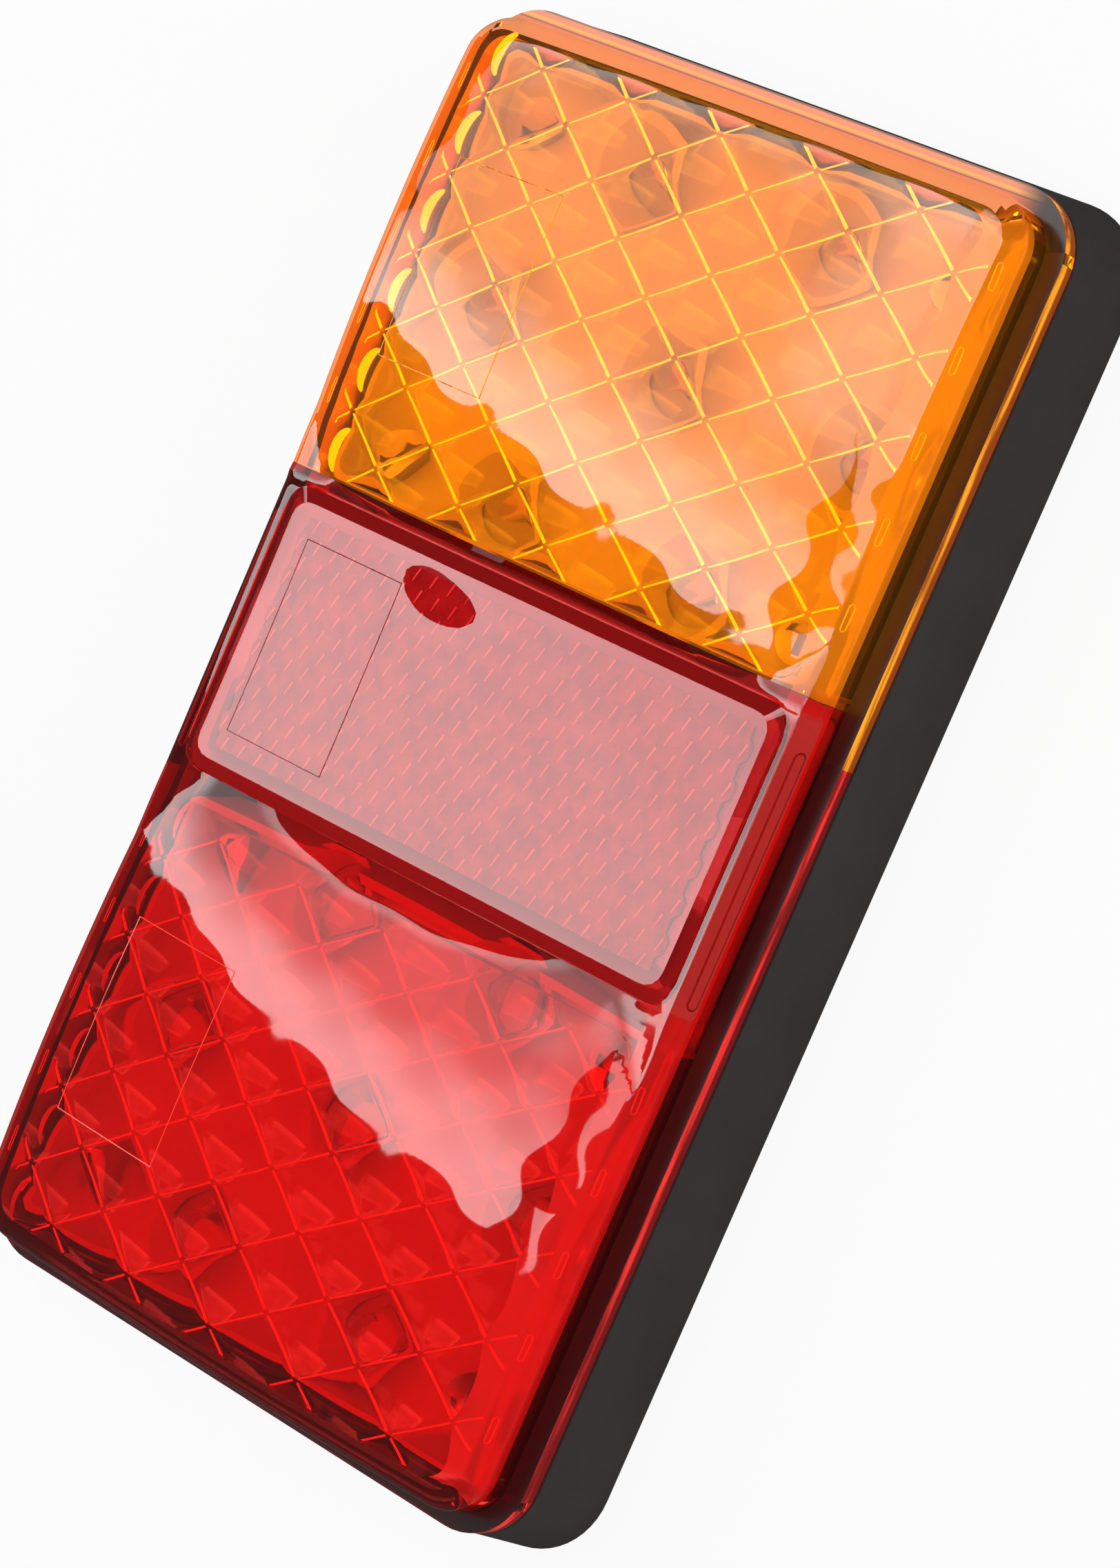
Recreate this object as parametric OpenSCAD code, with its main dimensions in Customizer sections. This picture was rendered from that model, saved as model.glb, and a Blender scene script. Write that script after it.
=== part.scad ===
// Surface-mount LED trailer tail light: amber indicator above, red reflex reflector in the middle,
// red stop and tail light below. The lamp lies on its back: the origin is the middle of the rear
// mounting face, +Z points out through the lens, +Y to the indicator end. Millimetres.

/* [Base] */
// Length of the base at its rear face
base_l = 149.8; // [146:0.2:180]
// Width of the base at its rear face
base_w = 79.6; // [78:0.2:100]
// Height of the base from its rear face to its rim
base_h = 11; // [10.5:0.5:15]
// Slope of the base wall, from the rear face in to the rim, on each side
base_draft = 1.5; // [0.5:0.1:2.2]
// Corner radius of the base at its rear face
base_corner_r = 9; // [8.5:0.5:12]
// Thickness of the floor of the base
floor_t = 3; // [2.6:0.1:3.4]
// Thickness of the base wall at the rim
rim_wall = 2.2; // [1.8:0.1:2.4]
// Width of the seal channel inside the base wall
channel_w = 3; // [2.9:0.1:3.2]
// Height of the floor of the seal channel above the rear face
channel_z = 4; // [3.6:0.1:4.4]
// Thickness of the inner wall of the seal channel
ring_wall = 1.6; // [1.4:0.1:1.9]
// Height of the inner wall's top above the rear face
ring_top = 8.5; // [8:0.1:9]
// Corner radius of the space inside the base
bay_corner_r = 1; // [0.5:0.1:3]

/* [Lens] */
// Gap between the rim of the base and the flange of the lens
rim_gap = 0.3; // [0.2:0.05:0.6]
// Setback of the edge of the flange from the edge of the rim
flange_setback = 0.15; // [0:0.05:0.5]
// Thickness of the lens flange
flange_t = 2.2; // [1.6:0.1:3]
// Width of the flange outside the upright wall of the lens
ledge_w = 2.15; // [1.8:0.05:2.6]
// Thickness of the lens
lens_t = 2.4; // [2:0.1:2.6]
// Height of the straight part of the upright lens wall above the flange
lens_wall_h = 4.3; // [3.5:0.1:6]
// Radius of the top edge of the flat middle zone
flat_edge_r = 1.5; // [1:0.1:2]
// Radius of the long top edges of the lit zones
side_edge_r = 2.6; // [2:0.1:3]
// Radius of the short top edges of the lit zones
end_edge_r = 3.9; // [3:0.1:4.5]
// Corner radius of the upright lens wall
lens_corner_r = 5; // [4.4:0.1:6.5]
// Radius of the crowned faces of the lit zones
crown_r = 245; // [220:5:300]
// Height of the crowns above the flat middle zone
crown_rise = 3.3; // [2.8:0.1:4]
// Distance of each crown's summit from the middle of the lamp
crown_y = 46.5; // [42:0.5:52]
// Clearance of the lens tongue in the seal channel
tongue_clear = 0.4; // [0.35:0.05:0.5]
// Length of the tongue below the flange
tongue_l = 5.3; // [4.8:0.1:5.4]
// Length of amber flange that runs on under the red wall
amber_overlap = 5.3; // [3:0.1:8]

/* [Lens optics] */
// Half of a diamond cell's width
cell_x = 6.13; // [5:0.01:8]
// Half of a diamond cell's length
cell_y = 4.5; // [4:0.01:6]
// Distance of the middle cell of each lit zone from the middle of the lamp
cell_mid_y = 44; // [42:0.5:46]
// Width of the ribs between the cells
rib_w = 0.5; // [0.3:0.05:1]
// Depth of the ribs under the inner face of the lens
rib_d = 0.8; // [0.4:0.05:1.2]

/* [Reflector] */
// Length of the flat middle zone that carries the reflector
zone_l = 35.8; // [34.5:0.1:38]
// Offset of the middle zone towards the indicator end
zone_y = 0.6; // [-1:0.1:1]
// Width of the flat face of the reflector
panel_w = 64.6; // [58:0.1:64.7]
// Length of the flat face of the reflector
panel_l = 29.4; // [24:0.1:30]
// Width of the bevel round the flat face
bevel_w = 1.5; // [0.8:0.1:1.6]
// Height of the bevel above the middle zone
bevel_h = 0.45; // [0.2:0.05:0.8]
// Corner radius of the flat face
panel_corner_r = 2; // [1:0.1:4]
// Depth of the seat that the reflector lies in
seat_d = 1.2; // [0.8:0.1:1.6]
// Width of the step that the reflector rests on
seat_w = 3; // [2:0.1:5]
// Clearance round the reflector in its seat
seat_clear = 0.15; // [0.05:0.05:0.2]

/* [Reflector box] */
// Thickness of the top of the box behind the reflector
box_top_t = 1.1; // [0.8:0.1:1.6]
// Thickness of the box walls
box_wall = 1.2; // [0.8:0.1:1.4]
// Gap between the box and the lens
box_gap = 0.3; // [0.2:0.05:0.4]
// Height of the side walls of the box, top included
box_side_h = 5; // [3.5:0.1:5.5]
// Gap between the end walls of the box and the circuit board
box_board_gap = 0.5; // [0.4:0.05:1]
// Length of the box
box_l = 33.2; // [32:0.1:34]

/* [Board] */
// Height of the bosses that carry the board
boss_h = 2.5; // [2:0.1:2.6]
// Radius of the bosses that carry the board
boss_r = 3.5; // [3:0.1:4]
// Thickness of the circuit board
board_t = 1.6; // [1.2:0.1:2]
// Gap between the edge of the board and the inner wall
board_gap = 0.9; // [0.85:0.05:1.2]

/* [Lights] */
// Distance of the outermost lights from the side of their tray
led_edge = 5.3; // [4.8:0.1:6]
// Side of a light's square body
led_body = 7.6; // [6:0.1:8]
// Height of a light's square body
led_body_h = 2; // [1.5:0.1:2.5]
// Radius of a light's dome
led_dome_r = 2.4; // [1.5:0.1:2.6]
// Height of the straight part of the dome
led_dome_h = 1.2; // [0.5:0.1:2]

/* [Reflector trays] */
// Thickness of the trays
tray_t = 1; // [0.8:0.1:1.5]
// Gap between the lights' bodies and the tray above them
tray_gap = 0.3; // [0.2:0.1:0.6]
// Gap between the tray and the inner wall
tray_edge_gap = 1; // [0.95:0.05:1.4]
// Gap between the tray and the end of the space inside the base
tray_end_gap = 0.8; // [0.6:0.1:1.2]
// Gap between the tray and the reflector box
tray_box_gap = 1.7; // [1:0.1:2]
// Length of a tray beyond its last row of lights
tray_margin = 4.6; // [4.3:0.1:4.8]
// Gap between the bowl of a tray and the lens wall around it
bowl_gap = 0.5; // [0.4:0.1:1]
// Thickness of the wall of the bowl
bowl_t = 0.9; // [0.7:0.1:1.2]
// Height of the bowl above the tray
bowl_h = 4.4; // [2:0.1:5]
// Gap between a light's dome and its cup
cup_gap = 0.8; // [0.5:0.1:1]
// Height of a cup
cup_h = 3.5; // [2:0.1:4]
// Spread of a cup's wall over its height
cup_spread = 1.8; // [1:0.1:2]
// Thickness of a cup's wall
cup_wall = 0.8; // [0.6:0.1:1]
// Radius of the spacers under the tray
spacer_r = 3; // [2.6:0.1:3.4]

/* [Screws] */
// Distance of the tray screws from the side of the tray
screw_edge = 3; // [2.9:0.1:4]
// Radius of a tray screw's shank
screw_r = 1.45; // [1.2:0.05:1.6]
// Radius of a tray screw's head
screw_head_r = 2.8; // [2.4:0.1:3]
// Height of a tray screw's head
screw_head_h = 1.8; // [1.4:0.1:2.2]
// Thickness of floor left under a tray screw's hole
screw_floor = 0.3; // [0.2:0.1:0.5]
// Clearance round a tray screw's shank in the board and the tray
screw_clear = 0.15; // [0.1:0.05:0.3]
// Clearance round a tray screw's shank in the base
pilot_clear = 0.05; // [0.02:0.01:0.1]
// Width of the driver slot in a screw head
slot_w = 0.9; // [0.6:0.1:1.2]
// Depth of the driver slot in a screw head
slot_d = 0.8; // [0.5:0.1:1]

/* [Fixing] */
// Distance of a fixing hole from the inner wall beside it
fixing_edge = 9; // [8:0.5:11]
// Radius of a fixing hole
fixing_r = 2.75; // [2.2:0.05:3.2]
// Wall of a mounting sleeve
sleeve_wall = 1.25; // [0.8:0.05:1.6]
// Radius of the head of a mounting sleeve
sleeve_head_r = 5.5; // [5:0.1:6]
// Height of the head of a mounting sleeve
sleeve_head_h = 1; // [0.6:0.1:1.5]
// Clearance round a mounting sleeve
sleeve_clear = 0.05; // [0.02:0.01:0.1]
// Radius of the pillars that hold the sleeves
pillar_r = 6; // [5.8:0.1:6.4]
// Height of the pillars above the rear face
pillar_top = 8.6; // [7.5:0.1:9]
// Gap between a pillar and the board
pillar_gap = 0.6; // [0.4:0.1:1]

/* [Rear pad] */
// Depth of the recess for the foam pad
pad_t = 1.2; // [0.8:0.1:1.4]
// Width of the rim of the base round the pad
pad_rim = 6; // [4:0.5:8]
// Corner radius of the pad
pad_corner_r = 4; // [2:0.5:8]
// Gap round what stands through the pad
pad_gap = 0.4; // [0.2:0.1:0.8]
// Setback of the pad from the rear face
pad_set = 0.1; // [0:0.05:0.3]

/* [Cable entry] */
// Radius of the cable hole in the grommet
cable_r = 3.1; // [2:0.1:3.6]
// Radius of the neck of the grommet
grommet_neck_r = 5.4; // [4.8:0.1:6]
// Radius of the grommet's flanges
grommet_flange_r = 8; // [6.8:0.1:8.5]
// Thickness of the grommet's outer flange
grommet_outer_t = 1; // [0.6:0.1:1.1]
// Thickness of the grommet's inner flange
grommet_inner_t = 1.5; // [1:0.1:1.8]
// Clearance round and between the plugs and the floor
plug_clear = 0.05; // [0.02:0.01:0.1]

/* [Vent] */
// Distance of the vent from the cable entry
vent_step = 12.5; // [12.3:0.1:13.5]
// Radius of the vent plug's stem
vent_r = 2.1; // [1.5:0.1:2.4]
// Radius of the vent plug's heads
vent_head_r = 3.5; // [3:0.1:3.7]
// Height of each of the vent plug's heads
vent_head_h = 0.9; // [0.5:0.1:1.1]

/* [Seal and clips] */
// Gap between the seal and the tongue of the lens
seal_gap = 0.3; // [0.2:0.05:0.5]
// Clearance of the seal in its channel
seal_clear = 0.05; // [0.02:0.01:0.2]
// Distance of the clips from the middle of the lamp
clip_y = 45; // [40:0.5:48]
// Width of a clip
clip_w = 10; // [8:0.5:12]
// Thickness of the clip strip
clip_t = 0.5; // [0.4:0.05:0.6]
// Clearance of a clip over the inner wall
clip_clear = 0.1; // [0.05:0.05:0.15]
// Depth of the notch in the inner wall for a clip
clip_notch = 0.8; // [0.6:0.05:0.9]
// Length of a clip's inner leg
clip_inner_l = 3; // [2:0.1:4]
// Length of a clip's outer leg
clip_outer_l = 2; // [1.8:0.1:2.3]
// Reach of a clip's hook
clip_hook = 1; // [0.8:0.05:1.1]
// Depth of the slot in the lens that the hook enters
catch_d = 0.6; // [0.5:0.05:0.8]
// Gap round the hook in its slot
catch_gap = 0.3; // [0.2:0.05:0.5]

/* [Electronics] */
// Width of a terminal blade
tab_w = 6.3; // [4.8:0.1:6.3]
// Thickness of a terminal blade
tab_t = 0.8; // [0.5:0.1:1]
// Height of a terminal blade above the board
tab_h = 7.5; // [5:0.1:8]
// Depth of a terminal blade's foot
tab_foot = 3; // [2:0.1:3]
// Gap between the last terminal blade and a capacitor
tab_gap = 0.7; // [0.5:0.1:1]
// Gap between the terminal blades and the single diode
tab_diode_gap = 0.4; // [0.3:0.1:0.6]
// Size of a driver chip
chip_size = [5, 4, 1.6];
// Size of a resistor
resistor_size = [3.2, 6.4, 0.7];
// Size of a protection diode
diode_size = [4.6, 3.6, 2.3];
// Radius of a capacitor
cap_r = 3.15; // [2:0.05:3.2]
// Height of a capacitor
cap_h = 6; // [4:0.1:8]
// Gap between the rows of small parts and the end walls of the box
row_gap = 0.6; // [0.4:0.1:0.8]
// Distance of the outer resistors from the side of the board
resistor_edge = 3.6; // [3:0.1:4]
// Step from the outer resistors in to the next parts
part_step = 6.5; // [6.4:0.1:7]
// Step from there in to the diodes
diode_step = 4.5; // [4.4:0.1:5]
// Step from the diodes in to the outer chips
chip_gap = 5.5; // [5.2:0.1:6]

/* [Hidden] */
$fn = 64;
eps = 0.01;
over = 1;

// Heights above the rear face
flange_z = base_h + rim_gap;
ledge_z = flange_z + flange_t;
wall_top = ledge_z + lens_wall_h;
flat_z = wall_top + flat_edge_r;
crown_z = flat_z + crown_rise;
tongue_z = flange_z - tongue_l;
board_z = floor_t + boss_h;
board_top = board_z + board_t;
tray_z = board_top + led_body_h + tray_gap;
tray_top = tray_z + tray_t;
inner_flat_z = flat_z - lens_t;
seat_z = flat_z - seat_d;
box_z = inner_flat_z - plug_clear;
seal_top = tongue_z - seal_gap;
bowl_top = tray_top + bowl_h;

// Plan sizes, each worked in from the rear face of the base
rim_w = base_w - 2 * base_draft;
rim_l = base_l - 2 * base_draft;
rim_r = base_corner_r - base_draft;
flange_w = rim_w - 2 * flange_setback;
flange_l = rim_l - 2 * flange_setback;
lens_w = flange_w - 2 * ledge_w;
lens_l = flange_l - 2 * ledge_w;
inner_w = lens_w - 2 * lens_t;
inner_l = lens_l - 2 * lens_t;
channel_out_w = rim_w - 2 * rim_wall;
channel_out_l = rim_l - 2 * rim_wall;
channel_out_r = rim_r - rim_wall;
channel_in_w = channel_out_w - 2 * channel_w;
channel_in_l = channel_out_l - 2 * channel_w;
channel_in_r = max(channel_out_r - channel_w, bay_corner_r);
bay_w = channel_in_w - 2 * ring_wall;
bay_l = channel_in_l - 2 * ring_wall;
tongue_w = channel_out_w - 2 * tongue_clear;
tongue_ll = channel_out_l - 2 * tongue_clear;
tongue_r = channel_out_r - tongue_clear;
board_w = bay_w - 2 * board_gap;
board_l = bay_l - 2 * board_gap;
tray_w = bay_w - 2 * tray_edge_gap;
pad_w = base_w - 2 * pad_rim;
pad_l = base_l - 2 * pad_rim;
plate_w = panel_w + 2 * bevel_w;
plate_l = panel_l + 2 * bevel_w;
plate_r = panel_corner_r + bevel_w;
block_w = plate_w - 2 * seat_w;
block_l = plate_l - 2 * seat_w;
amber_edge = zone_y + zone_l / 2;
red_edge = zone_y - zone_l / 2;
tray_far = bay_l / 2 - tray_end_gap;
tray_near = box_l / 2 + abs(zone_y) + tray_box_gap;
tray_l = tray_far - tray_near;
bowl_w = inner_w - 2 * bowl_gap;
bowl_far = inner_l / 2 - bowl_gap;
bowl_l = bowl_far - tray_near;
bowl_y = (bowl_far + tray_near) / 2;
bowl_r = lens_corner_r - lens_t - bowl_gap;
led_mid_y = (tray_far + tray_near) / 2;
led_dy = tray_l / 2 - tray_margin;
led_dx = (tray_w / 2 - led_edge) / 2;
screw_x = tray_w / 2 - screw_edge;
fixing_x = bay_w / 2 - fixing_edge;
sleeve_r = fixing_r + sleeve_wall;
cup_r = led_dome_r + cup_gap;
grommet_hole_r = grommet_neck_r + plug_clear;

// Rows of small parts, between the end walls of the reflector box
row_room = box_l / 2 - box_wall - row_gap;
row_low = zone_y - row_room;
row_high = zone_y + row_room;
resistor_x = board_w / 2 - resistor_edge;
inner_x = resistor_x - part_step;
diode_x = inner_x - diode_step;
chip_step = diode_x - chip_gap;
tab_step = (inner_x - cap_r - tab_gap - tab_w / 2) / 1.5;
lone_diode_y = row_high - diode_size.y / 2;
tab_y = lone_diode_y - diode_size.y / 2 - tab_diode_gap - tab_foot / 2;
chip_y = row_low + resistor_size.y / 2;
vent_hole_r = vent_r + plug_clear;

// Two, three and two lights, staggered like the diamonds of the lens
LED_GRID = [[-1, 1], [1, 1], [-2, 0], [0, 0], [2, 0], [-1, -1], [1, -1]];
SIDES = [-1, 1];

// Rectangle with round corners
module round_rect(w, l, r) {
    square([w - 2 * r, l], center = true);
    square([w, l - 2 * r], center = true);
    for (x = SIDES, y = SIDES) translate([x * (w / 2 - r), y * (l / 2 - r)]) circle(r);
}

// Upright block with round corners, from z0 to z1
module round_block(w, l, r, z0, z1) {
    translate([0, 0, z0]) linear_extrude(z1 - z0) round_rect(w, l, r);
}

// Block with round corners whose walls lean in by d over the height h
module tapered_block(w, l, r, h, d) {
    rotate([90, 0, 0]) linear_extrude(l - 2 * r, center = true) trapezoid(w, h, d);
    rotate([90, 0, 90]) linear_extrude(w - 2 * r, center = true) trapezoid(l, h, d);
    for (x = SIDES, y = SIDES)
        translate([x * (w / 2 - r), y * (l / 2 - r), 0]) cylinder(h, r, r - d);
}

module trapezoid(w, h, d) {
    polygon([[-w / 2, 0], [w / 2, 0], [w / 2 - d, h], [d - w / 2, h]]);
}

// Cross-section with round top edges, open upwards inside them
module edged_section(w, z0, z1, r, top) {
    translate([-w / 2, z0]) square([w, z1 - z0]);
    translate([r - w / 2, z0]) square([w - 2 * r, top - z0]);
    for (x = SIDES) translate([x * (w / 2 - r), z1]) circle(r);
}

module along_y(l) { rotate([90, 0, 0]) linear_extrude(l, center = true) children(); }
module along_x(w) { rotate([90, 0, 90]) linear_extrude(w, center = true) children(); }

// Flat-topped dome of the whole lens, with the small edge radius of the middle zone
module flat_dome() {
    r = lens_corner_r;
    along_y(lens_l - 2 * r) edged_section(lens_w, ledge_z, wall_top, flat_edge_r, flat_z);
    along_x(lens_w - 2 * r) edged_section(lens_l, ledge_z, wall_top, flat_edge_r, flat_z);
    for (x = SIDES, y = SIDES)
        translate([x * (lens_w / 2 - r), y * (lens_l / 2 - r), 0])
            rotate_extrude() intersection() {
                edged_section(2 * r, ledge_z, wall_top, flat_edge_r, flat_z);
                square([2 * r, crown_z]);
            }
}

// One crowned face: side 1 is the indicator, side -1 the stop light
module crown(side, edge) {
    far = lens_l / 2 + over;
    intersection() {
        translate([0, side * crown_y, crown_z - crown_r]) sphere(crown_r, $fn = 256);
        along_y(lens_l + 2 * over)
            edged_section(lens_w, ledge_z, wall_top, side_edge_r, crown_z + over);
        along_x(lens_w + 2 * over)
            edged_section(lens_l, ledge_z, wall_top, end_edge_r, crown_z + over);
        round_block(lens_w, lens_l, lens_corner_r, ledge_z, crown_z + over);
        translate([0, (edge + side * far) / 2, crown_z / 2])
            cube([base_w, abs(side * far - edge), crown_z * 2], center = true);
    }
}

// Space under one crowned face, lowered by drop
module crown_space(side, edge, drop) {
    near = edge + side * lens_t;
    far = side * inner_l / 2;
    intersection() {
        translate([0, side * crown_y, crown_z - crown_r]) sphere(crown_r - lens_t - drop, $fn = 256);
        translate([-inner_w / 2, min(near, far), tongue_z])
            cube([inner_w, abs(far - near), crown_z]);
    }
}

// Two crossing families of ribs that split a lit zone into diamond cells
module rib_grid(side) {
    step = 2 / norm([1 / cell_x, 1 / cell_y]);
    lean = atan2(cell_y, cell_x);
    rows = ceil(norm([inner_w, zone_l + tray_l]) / step / 2);
    for (turn = SIDES, k = [-rows:rows - 1])
        translate([0, side * cell_mid_y, 0]) rotate(turn * lean)
            translate([0, (k + 0.5) * step, crown_z / 2])
                cube([2 * base_l, rib_w, 2 * crown_z], center = true);
}

module optic_ribs(side, edge) {
    intersection() {
        rib_grid(side);
        difference() {
            crown_space(side, edge, -eps);
            crown_space(side, edge, rib_d);
            round_block(lens_w, lens_l, lens_corner_r, 0, inner_flat_z - rib_d);
        }
    }
}

// Slots in the tongue that the hooks of the clips enter
module clip_slots() {
    z0 = ring_top + clip_clear - clip_outer_l;
    for (x = SIDES, y = SIDES)
        translate([x * (inner_w / 2 + catch_d / 2 - over / 2), y * clip_y, z0 + clip_outer_l / 2])
            cube([catch_d + over, clip_w + 2 * catch_gap, clip_outer_l - catch_gap], center = true);
}

// Whole lens before it is split into its two colours
module lens_body() {
    difference() {
        union() {
            round_block(flange_w, flange_l, rim_r - flange_setback, flange_z, ledge_z + eps);
            round_block(tongue_w, tongue_ll, tongue_r, tongue_z, flange_z + eps);
            flat_dome();
            crown(1, amber_edge);
            crown(-1, red_edge);
        }
        round_block(inner_w, inner_l, lens_corner_r - lens_t, tongue_z - over, inner_flat_z);
        crown_space(1, amber_edge, 0);
        crown_space(-1, red_edge, 0);
        clip_slots();
    }
}

// Space of the amber half: all beyond its edge, and the flange a little further
module amber_zone() {
    translate([-base_w / 2, amber_edge, 0]) cube([base_w, base_l, crown_z + over]);
    translate([-base_w / 2, amber_edge - amber_overlap, 0]) cube([base_w, base_l, ledge_z]);
}

module reflector_seat() {
    c = 2 * seat_clear;
    translate([0, zone_y, 0]) {
        round_block(plate_w + c, plate_l + c, plate_r, seat_z, flat_z + over);
        round_block(block_w + c, block_l + c, panel_corner_r, inner_flat_z - over, flat_z);
    }
}

module base_housing() {
    color([0.13, 0.12, 0.12]) difference() {
        union() {
            difference() {
                tapered_block(base_w, base_l, base_corner_r, base_h, base_draft);
                round_block(channel_out_w, channel_out_l, channel_out_r, ring_top, base_h + over);
                difference() {
                    round_block(channel_out_w, channel_out_l, channel_out_r, channel_z, base_h);
                    round_block(channel_in_w, channel_in_l, channel_in_r, 0, base_h + over);
                }
                round_block(bay_w, bay_l, bay_corner_r, floor_t, base_h);
                round_block(pad_w, pad_l, pad_corner_r, -over, pad_t);
            }
            at_fixings() cylinder(pillar_top, r = pillar_r);
            at_screws() translate([0, 0, floor_t - eps]) cylinder(boss_h + eps, r = boss_r);
        }
        at_fixings() translate([0, 0, -over])
            cylinder(base_h + over, r = sleeve_r + sleeve_clear);
        at_screws() translate([0, 0, pad_t + screw_floor])
            cylinder(base_h, r = screw_r + pilot_clear);
        translate([0, 0, -over]) cylinder(base_h, r = grommet_hole_r);
        translate([0, -vent_step, -over]) cylinder(base_h, r = vent_hole_r);
        clip_notches();
    }
}

module at_fixings() { for (x = SIDES) translate([x * fixing_x, 0, 0]) children(); }

module at_screws(sides = SIDES) {
    for (x = SIDES, y = sides, row = SIDES)
        translate([x * screw_x, y * led_mid_y + row * led_dy, 0]) children();
}

module at_leds(side) {
    for (p = LED_GRID) translate([p.x * led_dx, side * led_mid_y + p.y * led_dy, 0]) children();
}

module clip_notches() {
    for (x = SIDES, y = SIDES)
        translate([x * (channel_in_w - clip_notch) / 2, y * clip_y, ring_top])
            cube([clip_notch + eps, clip_w + 2 * catch_gap, 2 * (clip_outer_l + catch_gap)],
                 center = true);
}

module rear_pad() {
    color([0.2, 0.2, 0.21]) difference() {
        round_block(pad_w - pad_gap, pad_l - pad_gap, pad_corner_r, pad_set, pad_t);
        at_fixings() translate([0, 0, -over]) cylinder(base_h, r = pillar_r + pad_gap);
        translate([0, 0, -over]) cylinder(base_h, r = grommet_flange_r + pad_gap);
        translate([0, -vent_step, -over]) cylinder(base_h, r = vent_head_r + pad_gap);
    }
}

module mounting_sleeves() {
    color([0.78, 0.76, 0.7]) at_fixings() difference() {
        union() {
            cylinder(pillar_top + sleeve_head_h, r = sleeve_r);
            translate([0, 0, pillar_top]) cylinder(sleeve_head_h, r = sleeve_head_r);
        }
        translate([0, 0, -over]) cylinder(base_h + 2 * over, r = fixing_r);
    }
}

// Plug in the floor: a stem between two heads, with an outer radius for each
module floor_plug(stem_r, head_r, outer_t, inner_t) {
    z0 = pad_t - plug_clear;
    z1 = floor_t + plug_clear;
    translate([0, 0, z0 - outer_t]) cylinder(outer_t, r = head_r);
    translate([0, 0, z0]) cylinder(z1 - z0, r = stem_r);
    translate([0, 0, z1]) cylinder(inner_t, r = head_r);
}

module cable_grommet() {
    color([0.07, 0.07, 0.07]) difference() {
        floor_plug(grommet_neck_r, grommet_flange_r, grommet_outer_t, grommet_inner_t);
        translate([0, 0, -over]) cylinder(base_h, r = cable_r);
    }
}

module vent_plug() {
    color([0.3, 0.3, 0.32]) translate([0, -vent_step, 0])
        floor_plug(vent_r, vent_head_r, vent_head_h, vent_head_h);
}

module lens_seal() {
    c = 2 * seal_clear;
    color([0.05, 0.05, 0.05]) difference() {
        round_block(channel_out_w - c, channel_out_l - c, channel_out_r - seal_clear,
                    channel_z, seal_top);
        round_block(channel_in_w + c, channel_in_l + c, channel_in_r + seal_clear,
                    channel_z - over, seal_top + over);
    }
}

// Strip bent over the inner wall, with a hook that looks outwards
module clip_section() {
    x_in = bay_w / 2 - clip_clear;
    x_out = channel_in_w / 2 - clip_notch + clip_clear;
    z = ring_top + clip_clear;
    translate([x_in - clip_t, z - clip_inner_l]) square([clip_t, clip_inner_l + clip_t]);
    translate([x_in - clip_t, z]) square([x_out + 2 * clip_t - x_in, clip_t]);
    translate([x_out, z - clip_outer_l]) square([clip_t, clip_outer_l + clip_t]);
    hook_z = z - clip_outer_l / 2;
    translate([x_out + clip_t, hook_z])
        polygon([[-eps, -clip_outer_l / 3], [clip_hook, -clip_outer_l / 20],
                 [clip_hook, clip_outer_l / 20], [-eps, clip_outer_l / 6]]);
}

module lens_clips() {
    color([0.75, 0.75, 0.77]) for (turn = [0, 180], y = SIDES)
        translate([0, y * clip_y, 0]) rotate(turn) along_y(clip_w) clip_section();
}

module circuit_board() {
    color([0.92, 0.92, 0.9]) difference() {
        round_block(board_w, board_l, bay_corner_r, board_z, board_top);
        at_fixings() translate([0, 0, floor_t]) cylinder(base_h, r = pillar_r + pillar_gap);
        at_screws() translate([0, 0, floor_t]) cylinder(base_h, r = screw_r + screw_clear);
        translate([0, 0, floor_t]) cylinder(base_h, r = grommet_flange_r);
    }
}

// Small boxed component standing on the board
module on_board(x, y, size) {
    translate([x - size.x / 2, y - size.y / 2, board_top]) cube(size);
}

module driver_chips() {
    color([0.1, 0.1, 0.11]) for (k = [-1:1]) on_board(k * chip_step, chip_y, chip_size);
}

module resistors() {
    color([0.12, 0.12, 0.13]) for (x = SIDES) {
        on_board(x * resistor_x, row_high - resistor_size.y / 2, resistor_size);
        on_board(x * resistor_x, chip_y, resistor_size);
        on_board(x * inner_x, chip_y, resistor_size);
    }
}

module protection_diodes() {
    color([0.16, 0.16, 0.17]) {
        for (x = SIDES) on_board(x * diode_x, chip_y, diode_size);
        on_board(0, lone_diode_y, diode_size);
    }
}

module capacitors() {
    color([0.7, 0.71, 0.73]) for (x = SIDES)
        translate([x * inner_x, row_high - cap_r, board_top]) cylinder(cap_h, r = cap_r);
}

module terminal_tabs() {
    color([0.8, 0.72, 0.45]) for (k = [-1.5:1.5]) {
        on_board(k * tab_step, tab_y, [tab_w, tab_foot, tab_t]);
        on_board(k * tab_step, tab_y, [tab_w, tab_t, tab_h]);
    }
}

module led() {
    translate([0, 0, board_top]) {
        translate([-led_body / 2, -led_body / 2, 0]) cube([led_body, led_body, led_body_h]);
        translate([0, 0, led_body_h - eps]) cylinder(led_dome_h + eps, r = led_dome_r);
        translate([0, 0, led_body_h + led_dome_h]) sphere(led_dome_r);
    }
}

module amber_leds() { color([0.98, 0.9, 0.7]) at_leds(1) led(); }
module red_leds() { color([0.95, 0.8, 0.78]) at_leds(-1) led(); }

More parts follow.
